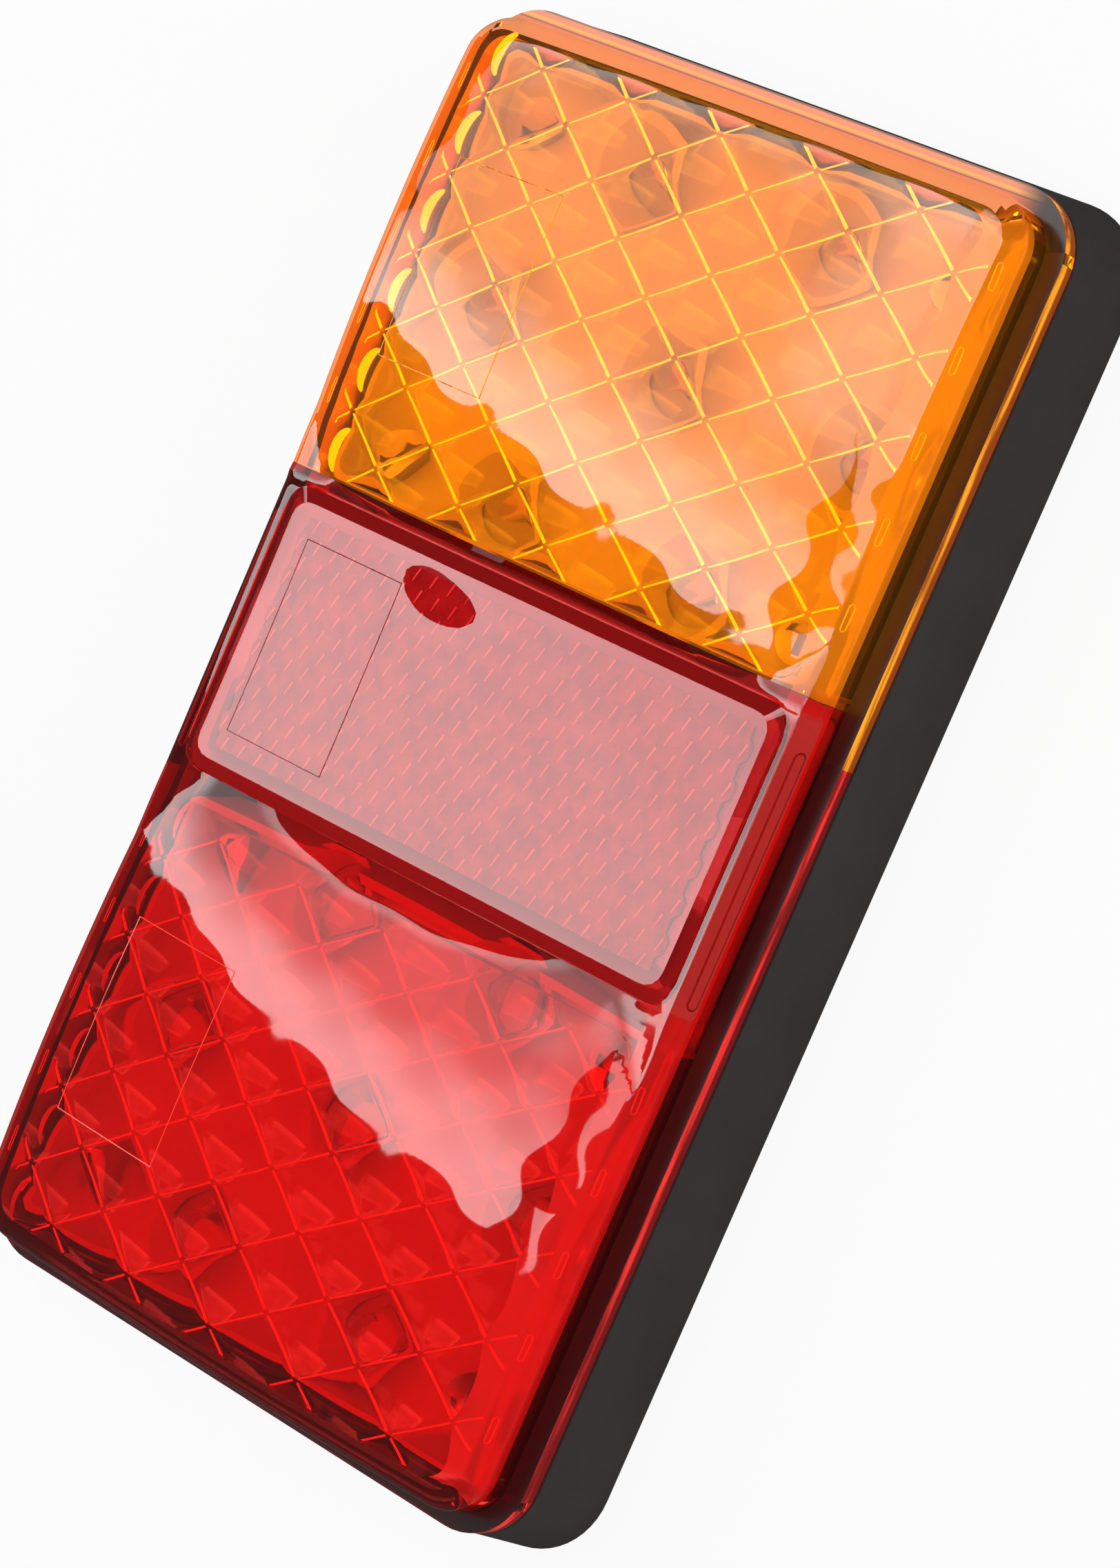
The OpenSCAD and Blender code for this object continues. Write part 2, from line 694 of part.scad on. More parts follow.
module reflector_tray(side) {
    difference() {
        union() {
            translate([0, side * bowl_y, 0]) difference() {
                round_block(bowl_w, bowl_l, bowl_r, tray_z, bowl_top);
                round_block(bowl_w - 2 * bowl_t, bowl_l - 2 * bowl_t, bowl_r - bowl_t, tray_top,
                            bowl_top + over);
            }
            at_leds(side) translate([0, 0, tray_z])
                cylinder(cup_h, cup_r + cup_wall, cup_r + cup_wall + cup_spread);
            at_screws([side]) translate([0, 0, board_top])
                cylinder(tray_z - board_top + eps, r = spacer_r);
        }
        at_leds(side) translate([0, 0, tray_z - cup_h])
            cylinder(3 * cup_h, cup_r - cup_spread, cup_r + 2 * cup_spread);
        at_leds(side) translate([0, 0, board_top]) cylinder(tray_t + tray_z - board_top, r = cup_r);
        at_screws([side]) translate([0, 0, floor_t])
            cylinder(base_h, r = screw_r + screw_clear);
    }
}

module amber_reflector_tray() { color([0.95, 0.95, 0.93]) reflector_tray(1); }
module red_reflector_tray() { color([0.95, 0.95, 0.93]) reflector_tray(-1); }

module tray_screws() {
    foot = pad_t + 2 * screw_floor;
    color([0.72, 0.72, 0.74]) at_screws() difference() {
        union() {
            translate([0, 0, foot]) cylinder(tray_top - foot, r = screw_r);
            translate([0, 0, tray_top]) cylinder(screw_head_h, r = screw_head_r);
        }
        for (turn = [0, 90]) rotate(turn)
            translate([0, 0, tray_top + screw_head_h])
                cube([1.4 * screw_head_r, slot_w, 2 * slot_d], center = true);
    }
}

module amber_lens() {
    color([1, 0.5, 0.02, 0.8]) {
        intersection() {
            lens_body();
            amber_zone();
        }
        optic_ribs(1, amber_edge);
    }
}

module red_lens() {
    color([0.8, 0.05, 0.04, 0.8]) {
        difference() {
            lens_body();
            amber_zone();
            reflector_seat();
        }
        optic_ribs(-1, red_edge);
    }
}

module reflex_reflector() {
    color([0.7, 0.08, 0.08]) translate([0, zone_y, 0]) {
        round_block(plate_w, plate_l, plate_r, seat_z + plug_clear, flat_z);
        translate([0, 0, flat_z - eps])
            tapered_block(plate_w, plate_l, plate_r, bevel_h + eps, bevel_w);
        round_block(block_w, block_l, panel_corner_r, inner_flat_z, seat_z + 2 * plug_clear);
    }
}

module reflector_back_plate() {
    w = inner_w - 2 * box_gap;
    end_w = bay_w - 2 * board_gap;
    end_z = board_top + box_board_gap;
    color([0.93, 0.92, 0.9]) translate([0, zone_y, 0]) {
        difference() {
            round_block(w, box_l, bay_corner_r, box_z - box_side_h, box_z);
            round_block(w - 2 * box_wall, box_l - 2 * box_wall, bay_corner_r,
                        box_z - box_side_h - over, box_z - box_top_t);
        }
        for (y = SIDES)
            translate([-end_w / 2, y * (box_l - box_wall) / 2 - box_wall / 2, end_z])
                cube([end_w, box_wall, box_z - end_z]);
    }
}

base_housing();
rear_pad();
mounting_sleeves();
cable_grommet();
vent_plug();
lens_seal();
lens_clips();
circuit_board();
driver_chips();
resistors();
protection_diodes();
capacitors();
terminal_tabs();
amber_leds();
red_leds();
amber_reflector_tray();
red_reflector_tray();
tray_screws();
amber_lens();
red_lens();
reflex_reflector();
reflector_back_plate();
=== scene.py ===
# %% [markdown]
# Trailer tail light. The lamp lies on its back on a pale studio floor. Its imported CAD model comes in
# first as a fixed frame: every node keeps its place, and some nodes are dressed by finer pieces that
# are modelled here. One unit of Blender is a metre, and sizes below are written in millimetres.

# %% Load the frame
import math

import bpy
import numpy as np
from mathutils import Matrix, Vector


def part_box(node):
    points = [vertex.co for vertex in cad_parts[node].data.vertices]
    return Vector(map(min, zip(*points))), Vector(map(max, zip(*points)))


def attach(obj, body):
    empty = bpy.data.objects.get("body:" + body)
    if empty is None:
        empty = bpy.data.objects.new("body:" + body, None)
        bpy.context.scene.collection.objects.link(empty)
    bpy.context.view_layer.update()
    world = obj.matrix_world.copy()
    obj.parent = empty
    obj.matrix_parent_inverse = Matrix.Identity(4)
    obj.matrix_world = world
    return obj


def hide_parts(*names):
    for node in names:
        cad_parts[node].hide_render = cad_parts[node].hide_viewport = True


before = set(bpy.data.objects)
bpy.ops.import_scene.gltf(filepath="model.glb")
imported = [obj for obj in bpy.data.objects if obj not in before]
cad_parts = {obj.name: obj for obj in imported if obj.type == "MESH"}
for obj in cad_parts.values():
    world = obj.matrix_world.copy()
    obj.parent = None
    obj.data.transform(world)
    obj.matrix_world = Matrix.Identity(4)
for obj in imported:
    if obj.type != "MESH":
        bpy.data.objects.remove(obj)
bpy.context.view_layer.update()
MM = 0.001
scene = bpy.context.scene
scene.view_settings.view_transform = "Standard"

# %% [markdown]
# The camera. A camera looks down its own -Z axis, with +X to the right and +Y up. The photograph's
# viewpoint was found from the lamp's edges as three directions, so they are written straight into
# the camera's matrix: right, up and backwards are its columns, and the last column is its place.

# %% Camera
camera_place = Vector((238.079, 34.121, 369.213)) * MM
right = Vector((0.75383, 0.39505, -0.52505))
down = Vector((0.37352, -0.91505, -0.15222))
forward = Vector((-0.54058, -0.08137, -0.83735))
camera = bpy.data.objects.new("camera", bpy.data.cameras.new("camera"))
scene.collection.objects.link(camera)
camera.matrix_world = Matrix(
    (
        (right.x, -down.x, -forward.x, camera_place.x),
        (right.y, -down.y, -forward.y, camera_place.y),
        (right.z, -down.z, -forward.z, camera_place.z),
        (0, 0, 0, 1),
    )
)
camera.data.sensor_fit = "HORIZONTAL"
camera.data.sensor_width = 36
camera.data.lens = 132.87
camera.data.clip_start = 0.01
scene.camera = camera
print("camera lens:", camera.data.lens, "mm")

# %% [markdown]
# Shader sums. Node trees are easier to read as formulas, so one small class wraps a socket and turns
# +, -, *, / and > into Math nodes. Its add method makes any other node: the settings are set first,
# then each socket gets a number, a colour or a link.


# %% Shader helpers
class Value:
    """A node socket that can be used in a formula."""

    def __init__(self, tree, socket=None):
        self.tree = tree
        self.socket = socket

    def add(self, kind, settings=None, inputs=None, output=0):
        made = self.tree.nodes.new(kind)
        for key, setting in (settings or {}).items():
            setattr(made, key, setting)
        for key, given in (inputs or {}).items():
            if isinstance(given, Value):
                self.tree.links.new(given.socket, made.inputs[key])
            else:
                made.inputs[key].default_value = given
        return Value(self.tree, made.outputs[output])

    def math(self, operation, first, second=0.0):
        return self.add("ShaderNodeMath", {"operation": operation}, {0: first, 1: second})

    def __add__(self, other):
        return self.math("ADD", self, other)

    __radd__ = __add__

    def __sub__(self, other):
        return self.math("SUBTRACT", self, other)

    def __rsub__(self, other):
        return self.math("SUBTRACT", other, self)

    def __mul__(self, other):
        return self.math("MULTIPLY", self, other)

    __rmul__ = __mul__

    def __truediv__(self, other):
        return self.math("DIVIDE", self, other)

    def __gt__(self, other):
        return self.math("GREATER_THAN", self, other)

    def __abs__(self):
        return self.math("ABSOLUTE", self)

    def soft_step(self, low, high):
        """0 below low, 1 above high, smooth between."""
        return self.add(
            "ShaderNodeMapRange",
            {"interpolation_type": "SMOOTHSTEP"},
            {"Value": self, "From Min": low, "From Max": high},
        )

    def blend(self, first, second):
        """The first colour where this is 0, the second where it is 1."""
        colours = {"Factor": self, "A": first, "B": second}
        made = self.tree.nodes.new("ShaderNodeMix")
        made.data_type = "RGBA"
        for socket in made.inputs:
            if not socket.enabled or socket.name not in colours:
                continue
            given = colours[socket.name]
            if isinstance(given, Value):
                self.tree.links.new(given.socket, socket)
            else:
                socket.default_value = given if socket.name == "Factor" else (*given, 1)
        out = next(s for s in made.outputs if s.enabled)
        return Value(self.tree, out)


def start_finish(name):
    """A material with an empty node tree, its Object coordinates and its output."""
    finish = bpy.data.materials.new(name)
    finish.use_nodes = True
    finish.node_tree.nodes.clear()
    begin = Value(finish.node_tree)
    place = begin.add("ShaderNodeTexCoord", output="Object")
    output = finish.node_tree.nodes.new("ShaderNodeOutputMaterial")
    return finish, begin, place, output.inputs["Surface"]


def split(place):
    """The X, Y and Z of a place, in millimetres."""
    node = place.add("ShaderNodeSeparateXYZ", inputs={0: place}).socket.node
    return [Value(place.tree, out) * (1 / MM) for out in node.outputs]


def noise(place, scale, detail=2.0, rough=0.5):
    """Soft random values around 0.5, with features of about 1 / scale metres."""
    return place.add(
        "ShaderNodeTexNoise",
        {"noise_dimensions": "3D"},
        {"Vector": place, "Scale": scale, "Detail": detail, "Roughness": rough},
    )


def bump(height, strength, distance_mm):
    return height.add(
        "ShaderNodeBump",
        inputs={"Height": height, "Strength": strength, "Distance": distance_mm * MM},
    )


def plastic(begin, **sockets):
    """A Principled shader with its sockets named in words: base_color, roughness and so on."""
    named = {key.replace("_", " ").title(): given for key, given in sockets.items()}
    named = {"IOR" if key == "Ior" else key: given for key, given in named.items()}
    for key, given in named.items():
        if isinstance(given, tuple) and len(given) == 3:
            named[key] = (*given, 1)
    return begin.add("ShaderNodeBsdfPrincipled", inputs=named)


def close_finish(shader, surface):
    shader.tree.links.new(shader.socket, surface)


print("shader helpers ready")

# %% [markdown]
# Sizes of the lens, from the CAD. The outline of the lens wall is a rectangle with round corners. Its
# signed distance, negative inside, gives the distance of any point from the wall, and the gradient
# gives the direction straight out of the wall. Both serve for the rounded top edge and the flange.
# Below the reflector the crown eases out of a shallow dip. Above it, a narrow strip rises to the amber.

# %% Lens outline and height
HALF_W, HALF_L, CORNER = 36.0, 71.1, 5.0
LEDGE_Z, FLANGE_Z, TONGUE_Z = 13.5, 11.3, 6.0
FLAT_Z, CROWN_Z, CROWN_R, CROWN_Y = 19.3, 22.8, 245.0, 46.5
FLANGE_OUT, TONGUE_IN = 2.15, 0.3
AMBER_EDGE, RED_EDGE, PANEL_EDGE = 18.5, -17.3, -15.7
LENS_T, PANEL_Y = 2.4, 0.6
FLAT_R, SIDE_R, END_R = 1.5, 1.3, 2.2
CELL_X, CELL_Y, CELL_MID = 6.13, 4.5, 44.0
SINK_MM, ROLL_MM = 0.009, 0.02
DIP_MM, DIP_HALF_W, EASE_L = 0.3, 34.0, 5.5
STRIP_Y, STRIP_SLOPE = 16.6, 0.16


def outline(x, y):
    """Signed distance to the lens wall and the direction out of it."""
    out_x = np.abs(x) - (HALF_W - CORNER)
    out_y = np.abs(y) - (HALF_L - CORNER)
    far_x = np.maximum(out_x, 0)
    far_y = np.maximum(out_y, 0)
    far = np.hypot(far_x, far_y)
    distance = far + np.minimum(np.maximum(out_x, out_y), 0) - CORNER
    corner = far > 1e-9
    safe = np.where(corner, far, 1)
    side = out_x > out_y
    normal_x = np.where(corner, far_x / safe, side) * np.sign(x)
    normal_y = np.where(corner, far_y / safe, ~side) * np.sign(y)
    return distance, normal_x, normal_y


def smooth(t):
    t = np.clip(t, 0, 1)
    return t * t * (3 - 2 * t)


def ball(x, y, summit):
    """Height of the large ball that a crowned face is part of. The summit is the Y of its top."""
    return CROWN_Z - (x**2 + (y - summit) ** 2) / (2 * CROWN_R)


def crown(x, y):
    """Height of the two crowned faces and the flat middle zone, with no edges rounded."""
    top = np.maximum(ball(x, y, np.where(y > 0, CROWN_Y, -CROWN_Y)), FLAT_Z)
    lip = np.maximum(ball(x, PANEL_EDGE, -CROWN_Y), FLAT_Z)
    start = FLAT_Z - DIP_MM * np.maximum(1 - (x / DIP_HALF_W) ** 2, 0)
    eased = top - (lip - start) * np.exp(-np.maximum(PANEL_EDGE - y, 0) / EASE_L)
    middle = FLAT_Z + STRIP_SLOPE * np.maximum(y - STRIP_Y, 0)
    return np.where(y >= AMBER_EDGE, top, np.where(y < PANEL_EDGE, eased, middle))


def cell_place(x, y):
    """Place inside the diamond cell, -1 to 1 along both of its directions."""
    middle = np.where(y > 0, CELL_MID, -CELL_MID)
    along = x / CELL_X + (y - middle) / CELL_Y
    across = x / CELL_X - (y - middle) / CELL_Y
    return (along + 1) % 2 - 1, (across + 1) % 2 - 1


def lens_top(x, y):
    """Height of the outer face: crown, faint sink marks over the cells, slow waves, rounded edges."""
    distance, out_x, out_y = outline(x, y)
    depth = -distance
    lit = smooth((np.abs(y - PANEL_Y) - 16.5) / 5)
    edge_r = np.hypot((FLAT_R + (SIDE_R - FLAT_R) * lit) * out_x, END_R * out_y)
    inside = np.clip(edge_r - depth, 0, edge_r)
    drop = edge_r - np.sqrt(np.maximum(edge_r**2 - inside**2, 0))
    along, across = cell_place(x, y)
    sink = SINK_MM * (np.cos(np.pi * along) + np.cos(np.pi * across)) * lit * smooth(depth / 4)
    roll = ROLL_MM * np.sin(x / 9.5 + 1.2 * np.sin(y / 11)) * np.cos(y / 8 + x / 17)
    return crown(x, y) - drop + sink + roll * smooth(depth / 5)


print("lens top at its middle:", lens_top(np.array([0.0]), np.array([CROWN_Y])))

# %% [markdown]
# Small modelling helpers. An operator acts on everything that is selected, so each step first clears
# the selection. Points are moved in code where a formula gives the surface, as the crown does.


# %% Modelling helpers
def alone(piece):
    """Selects one object only and makes it active."""
    bpy.ops.object.select_all(action="DESELECT")
    piece.select_set(True)
    bpy.context.view_layer.objects.active = piece


def new_piece(add, name, **settings):
    """Adds a primitive with nothing else selected, and names it."""
    bpy.ops.object.select_all(action="DESELECT")
    add(**settings)
    bpy.context.object.name = name
    return bpy.context.object


def points(piece):
    place = np.empty(len(piece.data.vertices) * 3)
    piece.data.vertices.foreach_get("co", place)
    return place.reshape(-1, 3)


def set_points(piece, place):
    piece.data.vertices.foreach_set("co", np.ascontiguousarray(place, dtype=float).ravel())
    piece.data.update()


def chosen(piece):
    flags = np.empty(len(piece.data.vertices), bool)
    piece.data.vertices.foreach_get("select", flags)
    return flags


def choose(piece, kind, flags):
    """Selects the flagged edges or polygons only, and stays in edit mode."""
    alone(piece)
    bpy.ops.object.mode_set(mode="EDIT")
    bpy.ops.mesh.select_all(action="DESELECT")
    bpy.ops.object.mode_set(mode="OBJECT")
    getattr(piece.data, kind).foreach_set("select", np.asarray(flags, bool))
    bpy.ops.object.mode_set(mode="EDIT")


def face_outwards():
    """Turns every normal of the mesh in edit mode outwards, and leaves edit mode."""
    bpy.ops.mesh.select_all(action="SELECT")
    bpy.ops.mesh.normals_make_consistent(inside=False)
    bpy.ops.object.mode_set(mode="OBJECT")


def edge_lengths(piece, axis):
    """How far each edge of a piece reaches along one axis."""
    along = points(piece)[:, axis]
    ends = np.array([tuple(edge.vertices) for edge in piece.data.edges])
    return np.abs(along[ends[:, 0]] - along[ends[:, 1]])


def draw_down(piece, steps, move):
    """Extrudes the border of a sheet once for each step, moves it, and closes the last opening."""
    alone(piece)
    bpy.ops.object.mode_set(mode="EDIT")
    bpy.ops.mesh.select_mode(type="EDGE")
    bpy.ops.mesh.select_all(action="DESELECT")
    bpy.ops.mesh.select_non_manifold()
    for step in steps:
        bpy.ops.mesh.extrude_edges_move()
        bpy.ops.object.mode_set(mode="OBJECT")
        place = points(piece) / MM
        border = chosen(piece)
        place[border] = move(place[border], *step)
        set_points(piece, place * MM)
        bpy.ops.object.mode_set(mode="EDIT")
    bpy.ops.mesh.edge_face_add()
    face_outwards()


def copy_at(model, place):
    """One more object with its own mesh, whose points are given in millimetres."""
    copy = model.copy()
    copy.data = model.data.copy()
    scene.collection.objects.link(copy)
    set_points(copy, place * MM)
    return copy


def gather(model, copies, name):
    """Joins the copies into one object and removes the model that they came from."""
    bpy.data.objects.remove(model)
    alone(copies[0])
    for copy in copies:
        copy.select_set(True)
    bpy.ops.object.join()
    bpy.context.object.name = name
    return bpy.context.object


def cut_with(piece, tool, operation):
    """Applies a boolean with another object, then removes that object."""
    alone(piece)
    cutter = piece.modifiers.new("cut", "BOOLEAN")
    cutter.operation = operation
    cutter.object = tool
    cutter.solver = "EXACT"
    cutter.material_mode = "TRANSFER"
    bpy.ops.object.modifier_apply(modifier=cutter.name)
    bpy.data.objects.remove(tool)


def close_up(piece):
    """Fills the small openings that a boolean can leave where faces lie in one plane."""
    alone(piece)
    bpy.ops.object.mode_set(mode="EDIT")
    bpy.ops.mesh.select_all(action="SELECT")
    bpy.ops.mesh.fill_holes(sides=0)
    face_outwards()


def dress(piece, node, body, slot, finishes, angle=32):
    """Smooths a piece, gives it its finishes, and lets it stand for its CAD node."""
    alone(piece)
    bpy.ops.object.shade_smooth_by_angle(angle=math.radians(angle))
    if finishes:
        piece.data.materials.clear()
        for finish in finishes:
            piece.data.materials.append(finish)
    if node:
        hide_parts(node)
    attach(piece, body)
    return piece


def round_block(name, width, length, radius, low, high, middle_y=0.0):
    """A block with round upright corners: a cube, scaled, with its four upright edges bevelled."""
    block = new_piece(bpy.ops.mesh.primitive_cube_add, name, size=1)
    place = points(block) * (width * MM, length * MM, (high - low) * MM)
    set_points(block, place + (0, middle_y * MM, (high + low) / 2 * MM))
    choose(block, "edges", edge_lengths(block, 2) > 1e-9)
    bpy.ops.mesh.bevel(offset=radius * MM, segments=8)
    bpy.ops.object.mode_set(mode="OBJECT")
    return block


print("modelling helpers ready")

# %% [markdown]
# The solid of one half of the lens. It starts as a flat grid whose lines crowd towards the wall. The
# grid's square corners are drawn round, the height formula lifts it, and then its border is extruded
# step by step: down the wall, out over the flange, down its edge, in to the tongue, and down.

# %% Lens half
GRID_MM = 0.95


def spread(start, end, rounded_start, rounded_end):
    """Grid lines from start to end, crowded towards each end that has a rounded edge."""
    rounding = END_R * (1 - np.sin(np.linspace(0, np.pi / 2, 12)))
    edge = CORNER - np.concatenate([[CORNER, 4.1, 3.1], rounding])
    low = start + CORNER if rounded_start else start
    high = end - CORNER if rounded_end else end
    lines = list(np.linspace(low, high, int(round((high - low) / GRID_MM)) + 1))
    if rounded_start:
        lines = list(start + CORNER - edge[:0:-1]) + lines
    if rounded_end:
        lines = lines + list(end - CORNER + edge[1:])
    return np.array(lines)


def round_corners(x, y, half_w, half_l, radius):
    """Moves the points of the square corners on to quarter circles."""
    p = np.clip((np.abs(x) - (half_w - radius)) / radius, 0, 1)
    q = np.clip((np.abs(y) - (half_l - radius)) / radius, 0, 1)
    most = np.maximum(np.maximum(p, q), 1e-9)
    turn = np.where(q >= p, np.pi / 2 - np.pi / 4 * p / most, np.pi / 4 * q / most)
    corner = (p > 0) & (q > 0)
    round_x = np.sign(x) * (half_w - radius + radius * most * np.cos(turn))
    round_y = np.sign(y) * (half_l - radius + radius * most * np.sin(turn))
    return np.where(corner, round_x, x), np.where(corner, round_y, y)


def lens_half(name, low_y, high_y, cut_y):
    lines_x = spread(-HALF_W, HALF_W, True, True)
    lines_y = spread(low_y, high_y, low_y != cut_y, high_y != cut_y)
    last_x, last_y = len(lines_x) - 1, len(lines_y) - 1
    cells = {"x_subdivisions": last_x, "y_subdivisions": last_y}
    half = new_piece(bpy.ops.mesh.primitive_grid_add, name, size=2, **cells)
    place = points(half)
    column = np.round((place[:, 0] + 1) / 2 * last_x).astype(int)
    row = np.round((place[:, 1] + 1) / 2 * last_y).astype(int)
    x, y = round_corners(lines_x[column], lines_y[row], HALF_W, HALF_L, CORNER)
    set_points(half, np.stack([x, y, lens_top(x, y)], 1) * MM)

    def to_step(border, reach, height):
        """Points of the border at a reach from the wall; those at the cut stay in its plane."""
        x, y = border[:, 0], border[:, 1]
        distance, out_x, out_y = outline(x, y)
        at_cut = np.abs(y - cut_y) < 1e-4
        at_side = np.abs(x) > HALF_W - CORNER / 2
        move = np.where(at_cut & ~at_side, 0, reach - distance)
        new_y = np.where(at_cut, cut_y, y + out_y * move)
        return np.stack([x + out_x * move, new_y, np.full(len(x), height)], 1)

    flange = ((FLANGE_OUT, LEDGE_Z), (FLANGE_OUT, FLANGE_Z))
    tongue = ((-TONGUE_IN, FLANGE_Z), (-TONGUE_IN, TONGUE_Z))
    draw_down(half, ((0, LEDGE_Z), *flange, *tongue), to_step)
    print(name, "has", len(half.data.polygons), "faces before it is hollowed")
    return half


print("lens half ready")

# %% [markdown]
# The optics. Behind each lit face lies a sheet of diamond pillows that spreads the light. One pillow
# is a subdivided square, bulged and laid out as a diamond. Copies fill the zone, each with its own
# mesh, and the height formula bends them under the crown. The sheet is extruded downwards into a
# solid, trimmed to the inside of the wall, and cut out of the lens half: its top is the optic face.

# %% Pillow optics
PILLOW_MM, CELL_CUTS, ZONE_L, OPTIC_DEPTH = 0.8, 7, 64, 18
ROOM_LOW, ROOM_TOP, ROOM_RISE, SLOPE_IN = 4, 14.2, 9.6, 0.7
INNER_W, INNER_L = 2 * (HALF_W - LENS_T), 2 * (HALF_L - LENS_T)


def pillow_solid(side):
    pillow = new_piece(bpy.ops.mesh.primitive_plane_add, "pillow", size=2)
    bpy.ops.object.mode_set(mode="EDIT")
    bpy.ops.mesh.subdivide(number_cuts=CELL_CUTS)
    bpy.ops.object.mode_set(mode="OBJECT")
    place = points(pillow)
    along, across = place[:, 0].copy(), place[:, 1].copy()
    place[:, 0] = CELL_X * (along + across) / 2
    place[:, 1] = CELL_Y * (along - across) / 2
    place[:, 2] = -PILLOW_MM * (1 - (along**2 + across**2) / 2)
    copies = []
    for i in range(-7, 8):
        for j in range(-7, 8):
            if (i + j) % 2 or abs(j * CELL_Y) > ZONE_L / 2:
                continue
            copies.append(copy_at(pillow, place + (i * CELL_X, side * CELL_MID + j * CELL_Y, 0)))
    sheet = gather(pillow, copies, "sheet")
    place = points(sheet) / MM
    bent = ball(place[:, 0], place[:, 1], side * CROWN_Y)
    place[:, 2] += np.maximum(bent, FLAT_Z - 1.5) - LENS_T + PILLOW_MM
    set_points(sheet, place * MM)
    bpy.ops.object.mode_set(mode="EDIT")
    bpy.ops.mesh.select_all(action="SELECT")
    bpy.ops.mesh.remove_doubles(threshold=0.004 * MM)
    bpy.ops.mesh.extrude_region_move(TRANSFORM_OT_translate={"value": (0, 0, -OPTIC_DEPTH * MM)})
    face_outwards()
    return sheet


def slope_in(room, rise, bright_left):
    """Draws the top of the room up, and its right edge in, so that the wall there slopes.
    The slope and the upper end, with the left wall if asked for, get the frosted finish."""
    choose(room, "polygons", [face.normal.z > 0.9 for face in room.data.polygons])
    bpy.ops.mesh.extrude_region_move(TRANSFORM_OT_translate={"value": (0, 0, rise * MM)})
    bpy.ops.object.mode_set(mode="OBJECT")
    place = points(room)
    place[chosen(room) & (place[:, 0] > 0), 0] -= SLOPE_IN * rise * MM
    set_points(room, place)
    for face in room.data.polygons:
        sloped = face.normal.x > 0.5 and face.normal.z > 0.3
        left = bright_left and face.normal.x < -0.9
        face.material_index = int(sloped or left or face.normal.y > 0.9)


def hollow(half, side, near, outer, inner, frost):
    """Cuts the space and the optics out of a lens half. Cut faces take the finish of their tool."""
    half.data.materials.append(outer)
    far = side * INNER_L / 2
    optic = pillow_solid(side)
    optic.data.materials.append(inner)
    inside = {"width": INNER_W, "radius": CORNER - LENS_T, "low": ROOM_LOW, "high": ROOM_TOP}
    room = round_block("room", length=abs(far - near), middle_y=(far + near) / 2, **inside)
    bay = round_block("bay", length=INNER_L, **inside)
    for space, rise in ((room, ROOM_RISE), (bay, FLAT_Z - LENS_T - ROOM_TOP)):
        space.data.materials.append(inner)
        space.data.materials.append(frost)
        slope_in(space, rise, side > 0)
    cut_with(optic, room, "INTERSECT")
    cut_with(half, bay, "DIFFERENCE")
    cut_with(half, optic, "DIFFERENCE")
    print(half.name, "has", len(half.data.polygons), "faces")


print("pillow optics ready")

# %% [markdown]
# The studio. A white floor lies under the lamp. Soft boxes hang level above the floor, to the left of
# the lamp. Their mirror images are the pale veils on the lens, and the dark gaps between them
# are the wedges near its right edge. The floor mixes a lit surface with plain white for the camera.

# %% Floor, lights and world
BOX_Z = 900
floor = new_piece(bpy.ops.mesh.primitive_plane_add, "floor", size=6, location=(0, 0, -0.05 * MM))
finish, begin, place, surface = start_finish("studio_floor")
path = begin.add("ShaderNodeLightPath").socket.node
ray_names = ("Is Camera Ray", "Is Transmission Ray", "Is Glossy Ray")
seen, passed, mirrored = (Value(begin.tree, path.outputs[name]) for name in ray_names)
floor_shade = mirrored.blend((0.9, 0.9, 0.9), (0.12, 0.12, 0.12))
lit = begin.add("ShaderNodeBsdfDiffuse", inputs={"Color": floor_shade})
white = begin.add("ShaderNodeEmission", inputs={"Color": (1, 1, 1, 1), "Strength": 1.0})
bright = begin.add("ShaderNodeEmission", inputs={"Color": (1, 1, 1, 1), "Strength": 2.2})
below = begin.add("ShaderNodeMixShader", inputs={0: seen * 0.9, 1: lit, 2: white})
through = passed * 0.7
close_finish(begin.add("ShaderNodeMixShader", inputs={0: through, 1: below, 2: bright}), surface)
floor.data.materials.append(finish)


def soft_box(name, corners, near, far):
    """A glowing sheet above the lamp. It fades from its near edge (-Y), and its far edge and its right
    side are brighter again."""
    sheet = new_piece(bpy.ops.mesh.primitive_plane_add, name, size=1)
    set_points(sheet, np.array([(x, y, BOX_Z) for x, y in corners]) * MM)
    sheet.visible_camera = False
    finish, begin, place, surface = start_finish(name)
    across, side = [part * MM for part in split(begin.add("ShaderNodeTexCoord", output="UV"))[:2]]
    fading = near + (far - near) * side.soft_step(0.05, 0.35)
    strength = fading + (near - far) * 0.5 * side.soft_step(0.8, 0.95)
    strength = strength + 2.4 * across.soft_step(0.8, 0.92) * side.soft_step(0.3, 0.5)
    close_finish(begin.add("ShaderNodeEmission", inputs={"Strength": strength}), surface)
    sheet.data.materials.append(finish)


soft_box("main_box", ((-1251, -25), (-270, -183), (-1167, 410), (-195, 325)), 7.2, 2.3)
soft_box("wedge_box", ((-206, -108), (-200, -108), (-240, 80), (-186, 80)), 5, 4)
soft_box("far_box", ((-240, 80), (-186, 80), (-240, 380), (-186, 380)), 4, 3.7)
soft_box("low_box", ((-222, -205), (-212, -205), (-236, -135), (-194, -135)), 5, 5)


